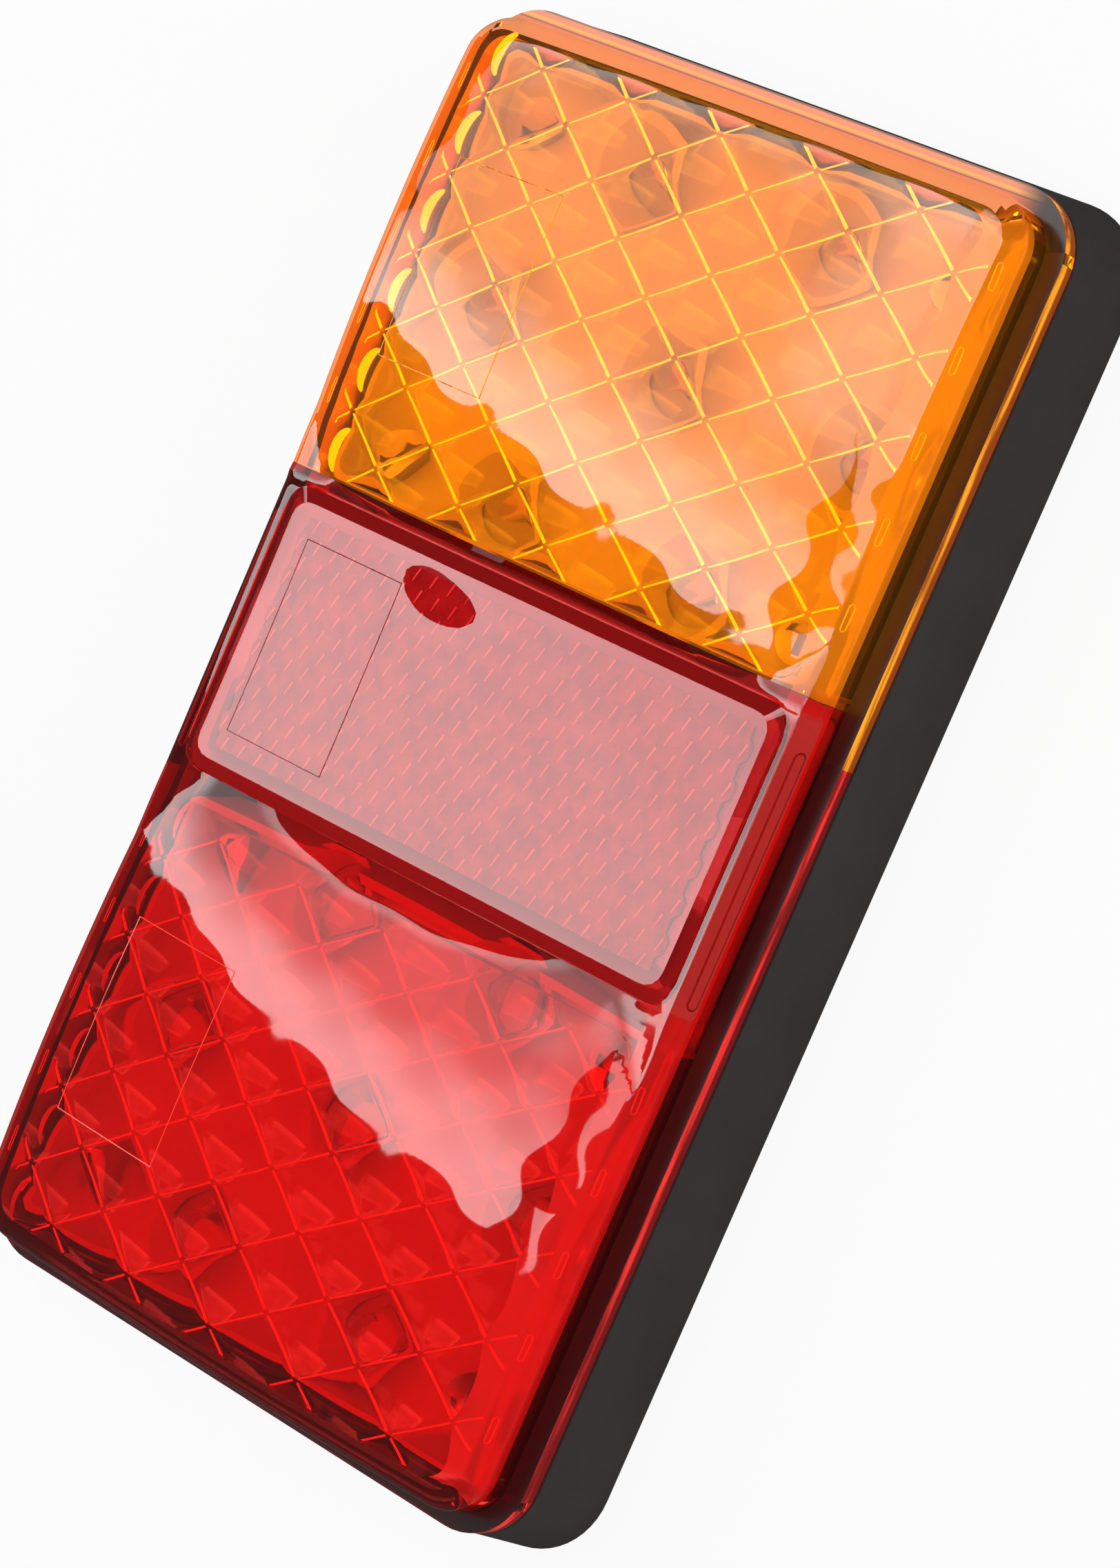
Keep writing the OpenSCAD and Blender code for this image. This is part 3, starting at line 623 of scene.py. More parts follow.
def fill(name, middle, width, length, tilt, strength):
    """A wide, dim sheet that lights the lamp but makes no mirror image."""
    turned = {"location": middle, "rotation": (0, math.radians(tilt), 0)}
    sheet = new_piece(bpy.ops.mesh.primitive_plane_add, name, size=1, **turned)
    sheet.scale = (width, length, 1)
    sheet.visible_camera = False
    sheet.visible_glossy = False
    finish, begin, place, surface = start_finish(name)
    close_finish(begin.add("ShaderNodeEmission", inputs={"Strength": strength}), surface)
    sheet.data.materials.append(finish)


fill("side_fill", (1.2, 0, 0.5), 1.0, 1.8, -80, 1.8)
fill("top_fill", (0.35, 0.1, 1.1), 0.9, 0.9, 0, 2.0)
world = bpy.data.worlds.new("studio")
world.use_nodes = True
world.node_tree.nodes["Background"].inputs["Color"].default_value = (0.12, 0.12, 0.12, 1)
scene.world = world
print("studio ready")

# %% [markdown]
# Coloured clear plastic. Light takes the tint each time it crosses a face, and Principled tints with
# the square root of its colour. Shadow rays can't bend through a refracting shell, so for them the
# shell is plain transparent with the same tint: the inside is then lit through the lens.


# %% Clear plastics
def clear_plastic(name, tint, rough=0.02, clear=1.0, glow=0.0):
    """With clear below 1, the rest of the light is scattered as in frosted plastic. A part that light
    is piped to can also glow; that glow is painted light, an emission in the plastic's colour."""
    finish, begin, place, surface = start_finish(name)
    colour = tuple(c * c for c in tint)
    sockets = {
        "base_color": colour,
        "roughness": rough,
        "ior": 1.49,
        "transmission_weight": clear,
        "emission_color": colour,
        "emission_strength": glow,
    }
    glass = plastic(begin, **sockets)
    passing = begin.add("ShaderNodeBsdfTransparent", inputs={"Color": (*tint, 1)})
    shadow = begin.add("ShaderNodeLightPath", output="Is Shadow Ray")
    close_finish(begin.add("ShaderNodeMixShader", inputs={0: shadow, 1: glass, 2: passing}), surface)
    return finish


amber_outer = clear_plastic("amber_outer", (1.0, 0.62, 0.05), 0.02, 0.94)
amber_inner = clear_plastic("amber_inner", (1.0, 0.76, 0.04), 0.07)
amber_frost = clear_plastic("amber_frost", (1.0, 0.76, 0.04), 0.3, 0.5)
# Painted shade: the very dark amber below is the lens plastic darkened for the flange ledge over the
# black housing.
amber_painted_shade = clear_plastic("amber_painted_shade", (0.3, 0.08, 0.01), 0.3)
# Painted light: the roll finish below glows.
amber_roll = clear_plastic("amber_roll", (1.0, 0.58, 0.36), 0.1, 0.45, 0.4)
red_outer = clear_plastic("red_outer", (0.96, 0.21, 0.19), 0.02, 0.97)
red_inner = clear_plastic("red_inner", (0.9, 0.2, 0.17), 0.07)
red_frost = clear_plastic("red_frost", (0.9, 0.16, 0.14), 0.3, 0.5)
red_roll = clear_plastic("red_roll", (0.9, 0.2, 0.17), 0.1, 0.45)
# Painted shade: the very dark red below is the lens plastic darkened for the flange ledge.
red_painted_shade = clear_plastic("red_painted_shade", (0.25, 0.02, 0.02), 0.3)


def edge_plastic(name, colour, painted_shade, glow=0.35):
    """The flange edge, bright because the plastic pipes light to it. That brightness is painted light, a
    glow and a lit colour in streaks; the lower band has a painted shade colour.
    """
    finish, begin, place, surface = start_finish(name)
    z = split(place)[2]
    drawn_out = place.add("ShaderNodeVectorMath", {"operation": "MULTIPLY"}, {0: place, 1: (1, 0.1, 1)})
    streak = noise(drawn_out, 900, 3)
    # Painted shade in the lower band, painted light in streaks above it.
    low = (z - FLANGE_Z).soft_step(0.8, 1.3)
    mixed = (low * streak.soft_step(0.3, 0.65)).blend(painted_shade, colour)
    shining = {"emission_color": mixed, "emission_strength": glow}
    close_finish(plastic(begin, base_color=mixed, roughness=0.25, **shining), surface)
    return finish


# Glowing finishes, all painted light: flange edges, ribs, wall pockets, lips and outlines.
amber_edge = edge_plastic("amber_edge", (1.0, 0.36, 0.01), (0.24, 0.04, 0.0), 0.5)
red_edge = edge_plastic("red_edge", (0.9, 0.03, 0.025), (0.16, 0.003, 0.003), 0.4)
amber_rib = edge_plastic("amber_rib", (1.0, 0.82, 0.01), (1.0, 0.7, 0.0), 0.85)
amber_loop = edge_plastic("amber_loop", (1.0, 0.66, 0.02), (1.0, 0.5, 0.01), 0.5)
red_lip = edge_plastic("red_lip", (0.8, 0.03, 0.02), (0.5, 0.015, 0.01), 0.12)
red_rib = edge_plastic("red_rib", (1.0, 0.07, 0.04), (0.9, 0.04, 0.03), 0.35)


def lined_ledge(name):
    """The flange at the upper end, with painted light and shade: pale bands and a bright line stand for
    the light that runs along it, and a dark line, the darker outer rim and the dark right corner are
    painted shade.
    """
    finish, begin, place, surface = start_finish(name)
    x, y = split(place)[:2]
    inward = (HALF_L + FLANGE_OUT - y) / FLANGE_OUT
    shade = inward.soft_step(0.6, 0.7).blend((0.8, 0.32, 0.16), (0.75, 0.22, 0.05))
    for start, end, line in ((0.34, 0.54, (1.0, 0.5, 0.09)), (0.56, 0.68, (0.28, 0.11, 0.05))):
        inside = inward.soft_step(start, start + 0.05) * (1 - inward.soft_step(end - 0.05, end))
        shade = inside.blend(shade, line)
    shade = inward.soft_step(0.06, 0.12).blend((0.3, 0.13, 0.08), shade)
    shade = x.soft_step(29.0, 34.0).blend(shade, (0.03, 0.012, 0.006))
    close_finish(plastic(begin, base_color=shade, roughness=0.15), surface)
    return finish


amber_lines = lined_ledge("amber_lines")
print("clear plastics ready")

# %% [markdown]
# The two lens halves. Each is hollowed, then its flange edge gets the glowing finish, whose glow is
# painted light. Its ledge gets a darkened tint, which is painted shade, and at the amber's upper end
# painted lines of light and shade. The amber plastic runs a little further along the flange than along
# the face, so a strip of the red half's flange is amber: the mesh is cut across at that place and the
# faces beyond it change finish.

# %% Lens halves
AMBER_STRIP, ROLL_W, LIT_FROM = 13.2, 2.3, 17
SEAT, WINDOW = (67.9, 32.7, 3.5, 18.1, 25), (61.8, 26.6, 2, 10, 20)


def face_data(piece):
    count = len(piece.data.polygons)
    middle = np.empty(count * 3)
    normal = np.empty(count * 3)
    index = np.empty(count, np.int32)
    piece.data.polygons.foreach_get("center", middle)
    piece.data.polygons.foreach_get("normal", normal)
    piece.data.polygons.foreach_get("material_index", index)
    return middle.reshape(-1, 3) / MM, normal.reshape(-1, 3), index


def paint_edge(piece, own_finishes, extra=None):
    """Gives the flange its finishes; with extra, the strip beyond the cut gets two others."""
    own = len(piece.data.materials)
    for finish in own_finishes:
        piece.data.materials.append(finish)
    middle, normal, index = face_data(piece)
    distance, _, out_y = outline(middle[:, 0], middle[:, 1])
    edge = (np.abs(distance - FLANGE_OUT) < 0.02) & (np.abs(normal[:, 2]) < 0.3)
    index[edge] = own
    # Painted shade on the ledge: a darkened tint; at the amber half's far end, painted lines of light
    # and shade instead.
    ledge = (distance > 0.01) & (normal[:, 2] > 0.9) & (middle[:, 2] < LEDGE_Z + 0.01)
    index[ledge] = np.where(out_y[ledge] > 0.3, own + 2, own + 1)
    if extra:
        for finish in extra:
            piece.data.materials.append(finish)
        beyond = (middle[:, 1] > AMBER_STRIP) & (distance > 0.01) & (middle[:, 2] < LEDGE_Z + 0.01)
        index[beyond & ~edge] = own + 2
        index[beyond & edge] = own + 3
    piece.data.polygons.foreach_set("material_index", index)


def paint_roll(piece, finish, upper_end):
    """The far edges of a lit face are milky, because the wall pipes light up to them. Where the given
    finish glows, as the amber one does, that glow is painted light.
    """
    piece.data.materials.append(finish)
    middle, normal, index = face_data(piece)
    distance, out_x, out_y = outline(middle[:, 0], middle[:, 1])
    far = (out_x < -0.5) | (upper_end & (out_y > 0.9))
    rolled = (distance > -ROLL_W) & (np.abs(normal[:, 2]) < 0.97) & (middle[:, 2] > LEDGE_Z + 0.01)
    lit = np.abs(middle[:, 1] - PANEL_Y) > LIT_FROM
    index[(index == 0) & far & rolled & lit] = len(piece.data.materials) - 1
    piece.data.polygons.foreach_set("material_index", index)


def cut_across(piece, y):
    """Adds a ring of edges where a plane across the lamp meets the flange."""
    middle = face_data(piece)[0]
    distance = outline(middle[:, 0], middle[:, 1])[0]
    choose(piece, "polygons", (distance > 0.01) & (middle[:, 1] > 0))
    bpy.ops.mesh.bisect(plane_co=(0, y * MM, 0), plane_no=(0, 1, 0))
    bpy.ops.object.mode_set(mode="OBJECT")


amber_half = lens_half("amber_half", AMBER_EDGE, HALF_L, AMBER_EDGE)
hollow(amber_half, 1, AMBER_EDGE + 0.5, amber_outer, amber_inner, amber_frost)
close_up(amber_half)
paint_edge(amber_half, (amber_edge, amber_painted_shade, amber_lines))
paint_roll(amber_half, amber_roll, True)
red_half = lens_half("red_half", -HALF_L, AMBER_EDGE, AMBER_EDGE)
hollow(red_half, -1, RED_EDGE - LENS_T, red_outer, red_inner, red_frost)
for name, sizes in (("seat", SEAT), ("window", WINDOW)):
    opening = round_block(name, *sizes, PANEL_Y)
    opening.data.materials.append(red_inner)
    cut_with(red_half, opening, "DIFFERENCE")
close_up(red_half)
cut_across(red_half, AMBER_STRIP)
paint_edge(red_half, (red_edge, red_painted_shade), (amber_painted_shade, amber_edge))
paint_roll(red_half, red_roll, False)
dress(amber_half, "amber_lens", "lens_unit", "amber_plastic", None)
dress(red_half, "red_lens", "lens_unit", "red_plastic", None)
print("lens halves:", [m.name for m in red_half.data.materials])

# %% [markdown]
# The ribs between the pillows. They are the brightest lines of the lens, because each rib is a little
# prism that sends light up; that light is painted, as a glow and a bright colour in the ribs' finish.
# One prism is a three-sided bar, cut into four lengths so that it can follow the edge of a pillow. It is
# copied to every cell edge and bent to the crown.

# %% Ribs
RISING_MM, FALLING_MM, RIB_RISE, RIB_TALL = 0.13, 0.19, 0.04, 1.2
Z_TO_X = (0, math.pi / 2, 0)


def long_bar(cuts):
    """A three-sided bar along X from -1 to 1, flat side down, cut across into equal lengths."""
    sizes = {"vertices": 3, "radius": 1, "depth": 2}
    bar = new_piece(bpy.ops.mesh.primitive_cylinder_add, "bar", rotation=Z_TO_X, **sizes)
    bpy.ops.object.transform_apply()
    choose(bar, "edges", edge_lengths(bar, 0) > 1)
    bpy.ops.mesh.subdivide(number_cuts=cuts)
    bpy.ops.object.mode_set(mode="OBJECT")
    shape = points(bar)
    shape[:, 2] -= shape[:, 2].min()
    shape[:, 2] /= shape[:, 2].max()
    return bar, shape


def rib_net(name, side, near):
    bar, shape = long_bar(3)
    copies = []
    far = side * (INNER_L / 2 - 0.3)
    for along in range(-16, 17):
        for across in range(-16, 17):
            if (along + across) % 2 == 0:
                continue
            rising = along % 2 == 0
            x = CELL_X * (along + across) / 2
            y = side * CELL_MID + CELL_Y * (along - across) / 2
            if abs(x) > 34 or not side * near < side * y < side * far + 1:
                continue
            step = shape[:, 0] * 0.9
            width = (RISING_MM if rising else FALLING_MM) * (1 + 0.25 * step)
            turn = np.array([CELL_X / 2, CELL_Y / 2 if rising else -CELL_Y / 2])
            lean = np.array([-turn[1], turn[0]]) / np.hypot(*turn)
            px = x + turn[0] * step + lean[0] * shape[:, 1] * width
            py = y + turn[1] * step + lean[1] * shape[:, 1] * width
            back = np.clip(py, min(near, far), max(near, far)) - py
            py += back
            px += back * turn[0] / turn[1]
            pz = ball(px, py, side * CROWN_Y) - LENS_T + PILLOW_MM * (1 + step**2) / 2
            pz += RIB_RISE + shape[:, 2] * width * RIB_TALL
            over = np.sign(px) * np.maximum(np.abs(px) - INNER_W / 2 + 0.5, 0)
            px -= over
            py -= over * turn[1] / turn[0]
            pz -= 0.5 * np.maximum(np.abs(px) - INNER_W / 2 + 1.3, 0)
            copies.append(copy_at(bar, np.stack([px, py, pz], 1)))
    print(name, "has", len(copies), "ribs")
    return gather(bar, copies, name)


amber_net = rib_net("amber_ribs", 1, AMBER_EDGE + 0.5)
dress(amber_net, None, "lens_unit", "amber_plastic", [amber_rib], 60)
red_net = rib_net("red_ribs", -1, RED_EDGE - LENS_T)
dress(red_net, None, "lens_unit", "red_plastic", [red_rib], 60)

# %% [markdown]
# Small marks of the mould. Beside each cell the wall has a pocket with round ends: one loop is a thin
# ring, stretched along the wall. In each cell at the left wall a curved lip shines: that is a bar bent
# to an arc, a painted highlight. Thin raised outlines, where the mould has inserts, are four straight
# bars on the surface. All three have glowing finishes, which are painted light.

# %% Mould marks
LIP_X, LIP_ARC, LIP_R, LIP_DEPTH, LIP_TALL = -29.3, (172, 62), (1.7, 2.7), 1.6, 0.3
LOOP, LOOP_IN, LOOP_DOWN, LOOP_SHIFT = (0.4, 1.05, 0.06), 1.5, 1.5, 1.2
LINE_MM, LINE_TALL = 0.07, 0.05
MARK_X, MARK_Y = (-29.3, -14), (32.5, 55)


def stretched_ring(radius, stretch, thick):
    """A thin ring that stands in the wall, drawn out along it."""
    sizes = {"major_segments": 16, "minor_segments": 4, "major_radius": radius, "minor_radius": thick}
    ring = new_piece(bpy.ops.mesh.primitive_torus_add, "ring", rotation=Z_TO_X, **sizes)
    bpy.ops.object.transform_apply()
    shape = points(ring)
    shape[:, 1] += np.sign(shape[:, 1]) * stretch
    return ring, shape


def wall_loops(name, side):
    loop, shape = stretched_ring(*LOOP)
    copies = []
    for hand in (-1, 1):
        for row in range(-2, 3):
            middle = side * CELL_MID + 2 * CELL_Y * row + LOOP_SHIFT
            height = crown(np.array([HALF_W - LOOP_IN]), np.array([middle]))[0] - LOOP_DOWN
            copies.append(copy_at(loop, shape + (hand * (INNER_W / 2 + 0.9), middle, height)))
    return gather(loop, copies, name)


def wall_lips(name, side):
    bar, shape = long_bar(11)
    turn = np.radians(LIP_ARC[0] + LIP_ARC[1] * shape[:, 0])
    width = (0.9 if side > 0 else 0.45) * (1 - 0.8 * shape[:, 0] ** 2)
    copies = []
    for row in range(-3, 3):
        middle = side * CELL_MID + CELL_Y * (2 * row + 1)
        if abs(middle) < 21:
            continue
        px = LIP_X + np.cos(turn) * (LIP_R[0] + shape[:, 1] * width)
        py = middle + np.sin(turn) * (LIP_R[1] + shape[:, 1] * width)
        pz = ball(px, py, side * CROWN_Y) - LIP_DEPTH + LIP_TALL * shape[:, 2]
        copies.append(copy_at(bar, np.stack([px, py, pz], 1)))
    print(name, "has", len(copies), "lips")
    return gather(bar, copies, name)


def drawn_box(name, left, right, low, high, height):
    """A thin raised outline that follows the surface under it."""
    bar, shape = long_bar(15)
    corners = [(left, low), (right, low), (right, high), (left, high), (left, low)]
    copies = []
    for (x0, y0), (x1, y1) in zip(corners, corners[1:]):
        long = math.hypot(x1 - x0, y1 - y0)
        step = (shape[:, 0] + 1) / 2
        px = x0 + (x1 - x0) * step - (y1 - y0) / long * LINE_MM * shape[:, 1]
        py = y0 + (y1 - y0) * step + (x1 - x0) / long * LINE_MM * shape[:, 1]
        pz = height(px, py) - 0.02 + LINE_TALL * shape[:, 2]
        copies.append(copy_at(bar, np.stack([px, py, pz], 1)))
    return gather(bar, copies, name)


# Painted light: the pockets, lips and outlines all get glowing finishes.
for colour, side, shine, faint in (("amber", 1, amber_rib, amber_loop), ("red", -1, red_lip, red_rib)):
    loops = wall_loops(colour + "_pockets", side)
    dress(loops, None, "lens_unit", colour + "_plastic", [faint], 60)
    lips = wall_lips(colour + "_lips", side)
    dress(lips, None, "lens_unit", colour + "_plastic", [shine], 60)
    low, high = sorted(side * y for y in MARK_Y)
    marks = drawn_box(colour + "_outline", *MARK_X, low, high, lens_top)
    dress(marks, None, "lens_unit", colour + "_plastic", [red_rib if side < 0 else amber_edge], 60)

# %% [markdown]
# The reflex reflector. A clear red plate with a bevelled border covers a field of corner cubes. Three
# square faces meet in each cube, so one cell is a six-sided fan whose middle and every second corner
# are pushed down. The field fills the plate. Each cell has one edge that catches the light; that
# highlight is painted: a dash, a thin bar with a pale red finish that glows.

# %% Reflex reflector
PANEL_TOP, PLATE_Z, PRISM_STEP = 19.75, 18.15, 2.42
PANEL_W, PANEL_L, PANEL_R = 32.3, 14.7, 2
BORDER_W, BORDER_L = 33.8, 16.2
FIELD_W, FIELD_L = 30.9, 13.3
PRISM_Z, GLINT_Z = (18.25, 18.5, 18.75), 18.82
DASH, DASH_LEAN = (0.18, 1.6, 0.06), 15.7
SLOT, SLOT_X, SLOT_Y, SLOT_Z = (0.75, 13.1, 0.13), 35.2, -0.65, 17.3
panel_red = clear_plastic("panel_red", (0.9, 0.3, 0.32), 0.0)
border_red = clear_plastic("border_red", (0.75, 0.12, 0.12), 0.02, 0.9)


def panel_height(x, y):
    """The plate has sunk a little in its middle, and near its upper edge it swells once."""
    across = (y - PANEL_Y) / PANEL_L
    swell = 0.25 * smooth(1 - np.hypot((x + 9) / 10, (y - 15.3) / 7))
    return PANEL_TOP - 0.16 * (1 - across**2) + swell + 0.006 * np.sin(x / 3.1) * np.cos(y / 2.7)


def to_border(border, widen_x, widen_y, height):
    """Points of the plate's edge, drawn out from the plate's middle."""
    y = PANEL_Y + (border[:, 1] - PANEL_Y) * widen_y
    return np.stack([border[:, 0] * widen_x, y, np.full(len(y), height)], 1)


cells = {"x_subdivisions": 56, "y_subdivisions": 28}
plate = new_piece(bpy.ops.mesh.primitive_grid_add, "reflex_plate", size=2, **cells)
x, y = (points(plate)[:, :2] * (PANEL_W, PANEL_L)).T
x, y = round_corners(x, y, PANEL_W, PANEL_L, PANEL_R)
set_points(plate, np.stack([x, y + PANEL_Y, panel_height(x, y + PANEL_Y)], 1) * MM)
bevel = (BORDER_W / PANEL_W, BORDER_L / PANEL_L, FLAT_Z)
draw_down(plate, (bevel, (1, 1, PLATE_Z)), to_border)
dress(plate, "reflex_reflector", "lens_unit", "reflex_red", [panel_red, border_red], 10)
for face in plate.data.polygons:
    face.material_index = int(face.normal.z < 0.98 and face.center.z > 0.018)


def over_panel(cell, shape, name):
    """Copies one cell to every place of the hexagonal field, joined into one object."""
    copies = []
    for row in range(-7, 8):
        for column in range(-14, 15):
            x = PRISM_STEP * (column + (0.5 if row % 2 else 0))
            y = PRISM_STEP * math.sqrt(0.75) * row
            if abs(x) > FIELD_W + 0.5 or abs(y) > FIELD_L + 0.6:
                continue
            place = shape + (x, y, 0)
            place[:, 0] = np.clip(place[:, 0], -FIELD_W, FIELD_W)
            place[:, 1] = np.clip(place[:, 1], -FIELD_L, FIELD_L) + PANEL_Y
            copies.append(copy_at(cell, place))
    print(name, "has", len(copies), "cells")
    return gather(cell, copies, name)


fan = {"vertices": 6, "radius": PRISM_STEP / math.sqrt(3), "fill_type": "TRIFAN"}
cube_corner = new_piece(bpy.ops.mesh.primitive_circle_add, "cube_corner", **fan)
shape = points(cube_corner)
turn = np.round(np.degrees(np.arctan2(shape[:, 1], shape[:, 0])) / 60 - 0.5).astype(int)
centre = np.hypot(shape[:, 0], shape[:, 1]) < 0.1
shape[:, 2] = np.where(centre, PRISM_Z[0], np.where(turn % 2 == 0, PRISM_Z[2], PRISM_Z[1]))
prisms = over_panel(cube_corner, shape, "reflex_prisms")
bpy.ops.object.mode_set(mode="EDIT")
bpy.ops.mesh.select_all(action="SELECT")
bpy.ops.mesh.remove_doubles(threshold=0.02 * MM)
bpy.ops.mesh.dissolve_degenerate(threshold=0.02 * MM)
bpy.ops.mesh.extrude_region_move()
bpy.ops.transform.resize(value=(1, 1, 0))
bpy.ops.transform.translate(value=(0, 0, -0.3 * MM))
face_outwards()
moulded_line, begin, place, surface = start_finish("line_red")
shade = noise(place, 300, 1).blend((0.2, 0.008, 0.01), (0.32, 0.02, 0.02))
close_finish(plastic(begin, base_color=shade, roughness=0.3), surface)
finish, begin, place, surface = start_finish("prism_red")
shade = noise(place, 420, 2).soft_step(0.3, 0.7).blend((0.42, 0.01, 0.015), (0.6, 0.02, 0.025))
close_finish(plastic(begin, base_color=shade, roughness=0.2, coat_weight=0.5), surface)
dress(prisms, None, "lens_unit", "reflex_red", [finish], 5)

# Painted highlights: one thin glowing bar in each cell stands for the light on an edge of the cube.
dash = new_piece(bpy.ops.mesh.primitive_cube_add, "dash", size=1)
shape = points(dash) * DASH
shape[:, 0] *= np.where(shape[:, 1] > 0, 1.4, 0.6)
lean = Matrix.Rotation(math.radians(DASH_LEAN), 2)
shape[:, :2] = shape[:, :2] @ np.array(lean)
shape[:, 2] += GLINT_Z
painted_glints = over_panel(dash, shape, "reflex_glints")
finish, begin, place, surface = start_finish("glint_red")
shade = noise(place, 300, 1).soft_step(0.25, 0.75).blend((0.6, 0.05, 0.045), (0.9, 0.17, 0.14))
shining = {"emission_color": shade, "emission_strength": 0.3}
close_finish(plastic(begin, base_color=shade, roughness=0.3, **shining), surface)
dress(painted_glints, None, "lens_unit", "reflex_red", [finish], 20)
marks = drawn_box("panel_outline", -29.1, -15.5, -10.5, 11.65, panel_height)
dress(marks, None, "lens_unit", "reflex_red", [moulded_line], 60)
ring, shape = stretched_ring(*SLOT)
copies = [copy_at(ring, shape + (hand * SLOT_X, SLOT_Y, SLOT_Z)) for hand in (-1, 1)]
slots = gather(ring, copies, "wall_slots")
dress(slots, None, "lens_unit", "red_plastic", [moulded_line], 60)

# %% [markdown]
# Opaque finishes. Moulded plastic is never quite even: a fine grain bends the light, and slow patches
# change its gloss. One function makes that for plastics, rubber and ceramics, and for metals too.


# %% Opaque finishes
def moulded(name, colour, rough=0.45, grain=3000, grain_mm=0.01, metallic=0.0, patch=0.25, shell=None):
    """With shell, the name of a tray's node, the outside of the tray's wall is painted dark: painted
    shade, for the narrow gap between it and the walls around it.
    """
    finish, begin, place, surface = start_finish(name)
    slow = noise(place, 90, 3)
    fine = noise(place, grain, 2)
    darker = tuple(c * (1 - patch) for c in colour)
    shade = (slow * 0.7 + fine * 0.3).soft_step(0.3, 0.7).blend(darker, colour)
    if shell:
        low, high = (np.array(corner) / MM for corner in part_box(shell))
        half_x, half_y = (high - low)[:2] / 2
        x, y = split(place)[:2]
        from_x, from_y = abs(x - (low[0] + half_x)), abs(y - (low[1] + half_y))
        sides = place.math("MAXIMUM", from_x > half_x - 0.45, from_y > half_y - 0.45)
        outside = place.math("MAXIMUM", sides, from_x + from_y > half_x + half_y - 1.6)
        # Painted shade on the outside of the tray's wall.
        shade = outside.blend(shade, (0.03, 0.03, 0.03))
    sockets = {
        "base_color": shade,
        "roughness": rough * (0.8 + 0.4 * slow),
        "metallic": metallic,
        "normal": bump(fine, 0.6, grain_mm),
    }
    close_finish(plastic(begin, **sockets), surface)
    return finish


FINISHES = {
    "base_housing": moulded("base_black", (0.044, 0.039, 0.037), 0.5, 2600, 0.02, patch=0.15),
    "rear_pad": moulded("pad_foam", (0.05, 0.05, 0.052), 0.9, 1500, 0.12),
    "mounting_sleeves": moulded("zinc", (0.62, 0.63, 0.66), 0.35, 1800, 0.01, 1.0),
    "cable_grommet": moulded("grommet_rubber", (0.02, 0.02, 0.021), 0.6, 2200, 0.015),
    "vent_plug": moulded("vent_plastic", (0.06, 0.06, 0.065), 0.5),
    "lens_seal": moulded("seal_rubber", (0.025, 0.025, 0.026), 0.65, 2200, 0.015),
    "lens_clips": moulded("spring_steel", (0.55, 0.56, 0.58), 0.3, 1500, 0.008, 1.0),
    "circuit_board": moulded("board_white", (0.78, 0.78, 0.75), 0.4, 2500, 0.006, patch=0.08),
    "driver_chips": moulded("chip_black", (0.02, 0.02, 0.022), 0.55, 4000, 0.01),
    "resistors": moulded("resistor_body", (0.03, 0.03, 0.033), 0.35, 4000, 0.006),
    "protection_diodes": moulded("diode_black", (0.035, 0.035, 0.038), 0.5, 4000, 0.01),
    "capacitors": moulded("can_aluminium", (0.75, 0.76, 0.78), 0.28, 1500, 0.006, 1.0),
    "terminal_tabs": moulded("tab_brass", (0.72, 0.52, 0.22), 0.3, 1500, 0.006, 1.0),
    "tray_screws": moulded("screw_zinc", (0.6, 0.61, 0.64), 0.3, 2000, 0.008, 1.0),
    "reflector_back_plate": moulded("box_white", (0.72, 0.72, 0.7), 0.4, 2000, 0.008, patch=0.08),
}
for node in ("amber_reflector_tray", "red_reflector_tray"):
    FINISHES[node] = moulded(node, (0.82, 0.82, 0.79), 0.35, 2000, 0.008, patch=0.08, shell=node)
for node, finish in FINISHES.items():
    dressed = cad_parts[node]
    dressed.data.materials.clear()
    dressed.data.materials.append(finish)
print(len(FINISHES), "CAD nodes dressed")

# %% [markdown]
# The lights. Each is a pale square package with a bevelled top, a clear dome over it, and a small
# bright chip in the dome. The three are modelled once, and copies stand at the seven places of a tray.

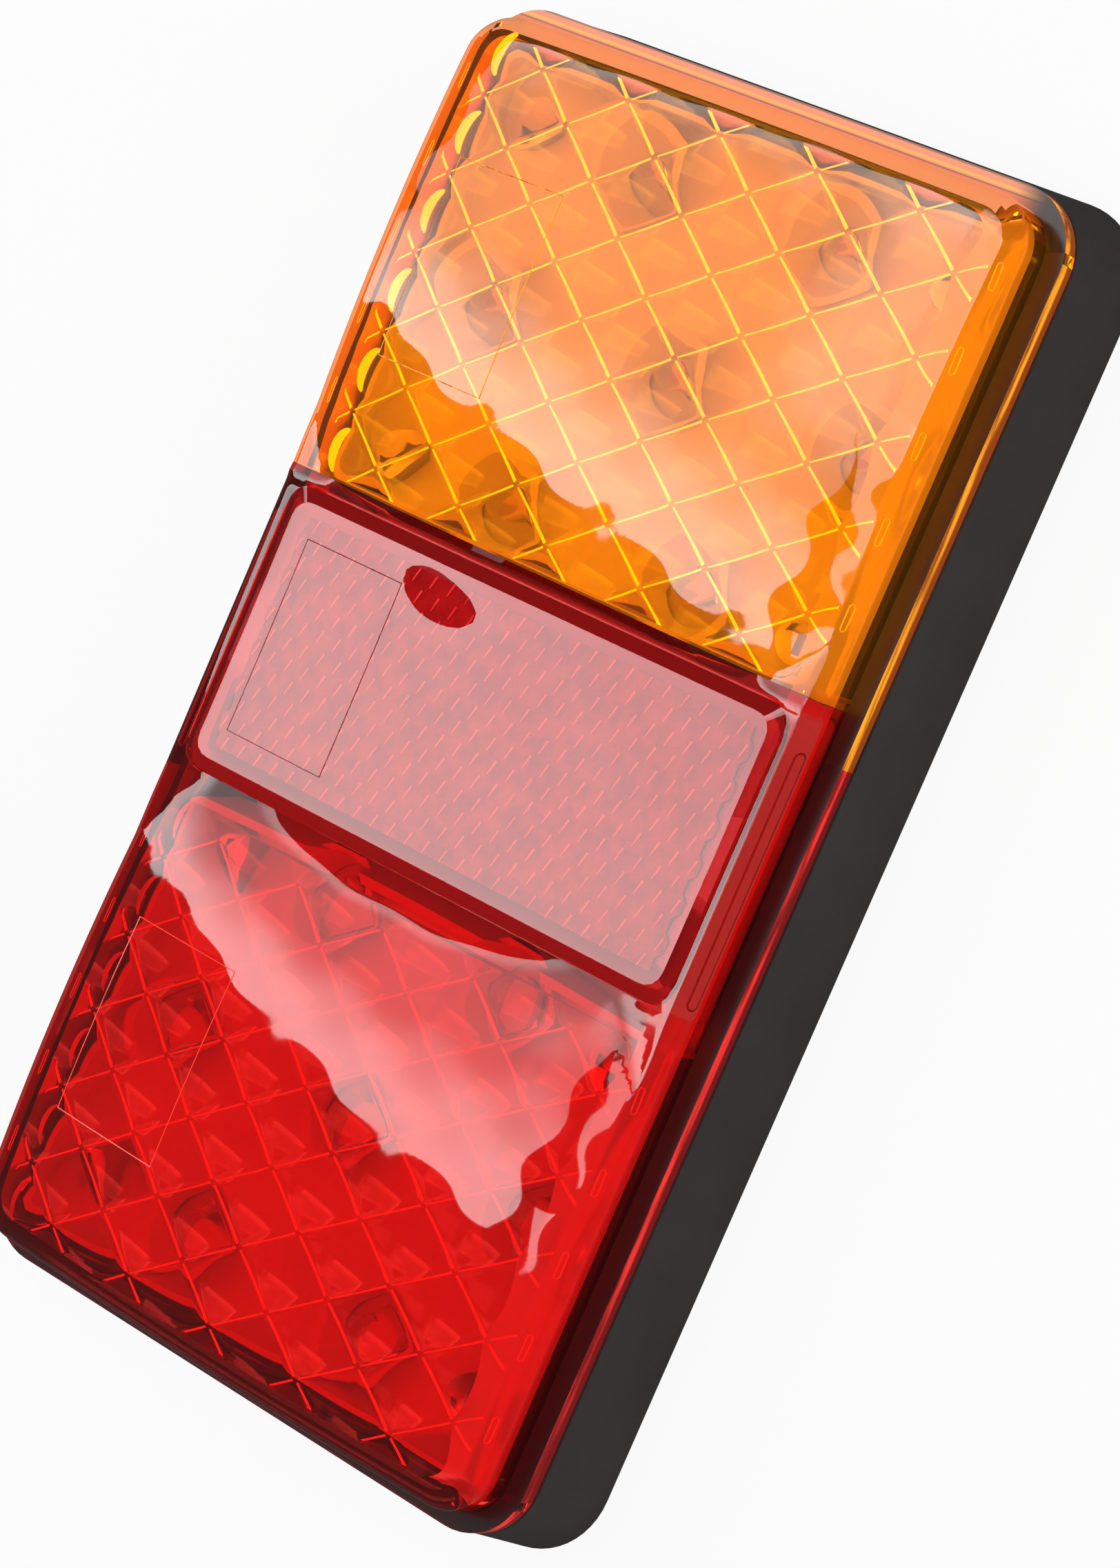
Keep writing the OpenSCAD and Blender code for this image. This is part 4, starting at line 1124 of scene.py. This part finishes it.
# %% Lights
PACKAGE, PACKAGE_Z, PACKAGE_BEVEL = (7.6, 7.6, 2.0), 8.1, 0.35
DOME_R, DOME_LOW, DOME_Z, DOME_FLAT = 2.0, 9.12, 11.1, 0.6
CHIP, CHIP_Z, CHIP_TAPER = (1.9, 1.9, 0.3), 9.3, 0.85
LIGHTS = (("amber_leds", "led_amber", (1.0, 0.75, 0.05)), ("red_leds", "led_red", (1.0, 0.6, 0.1)))


def join_copies(model, places, name):
    shape = points(model)
    return gather(model, [copy_at(model, shape + place) for place in places], name)


def light_places(node):
    """Middle of each light, from the CAD node's own size: two, three and two."""
    low, high = (np.array(corner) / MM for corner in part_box(node))
    middle = (low + high) / 2
    reach = (high - low) / 2 - PACKAGE[0] / 2
    grid = ((-1, 1), (1, 1), (-2, 0), (0, 0), (2, 0), (-1, -1), (1, -1))
    return [np.array((middle[0] + i * reach[0] / 2, middle[1] + j * reach[1], 0)) for i, j in grid]


package = moulded("package_pale", (0.66, 0.64, 0.58), 0.4, 3500, 0.008)
clear_dome = clear_plastic("dome_clear", (0.97, 0.97, 0.95), 0.01)
for node, body, dye in LIGHTS:
    places = light_places(node)
    block = new_piece(bpy.ops.mesh.primitive_cube_add, "block", size=1)
    set_points(block, points(block) * PACKAGE + (0, 0, PACKAGE_Z))
    bpy.ops.object.mode_set(mode="EDIT")
    bpy.ops.mesh.select_all(action="SELECT")
    bpy.ops.mesh.bevel(offset=PACKAGE_BEVEL, segments=2)
    bpy.ops.object.mode_set(mode="OBJECT")
    blocks = join_copies(block, places, node + "_packages")
    dress(blocks, node, "base", body, [package])
    sizes = {"segments": 24, "ring_count": 12, "radius": DOME_R}
    dome = new_piece(bpy.ops.mesh.primitive_uv_sphere_add, "dome", **sizes)
    shape = points(dome)
    shape[:, 2] = np.where(shape[:, 2] > 0, shape[:, 2] * DOME_FLAT + DOME_Z, DOME_LOW)
    set_points(dome, shape)
    domes = join_copies(dome, places, node + "_domes")
    dress(domes, None, "base", body, [clear_dome], 50)
    chip = new_piece(bpy.ops.mesh.primitive_cube_add, "chip", size=1)
    shape = points(chip) * CHIP
    shape[shape[:, 2] > 0, :2] *= CHIP_TAPER
    set_points(chip, shape + (0, 0, CHIP_Z))
    chips = join_copies(chip, places, node + "_chips")
    dress(chips, None, "base", body, [moulded(node + "_glow", dye, 0.4, 2000, 0.004)])
print("lights ready")
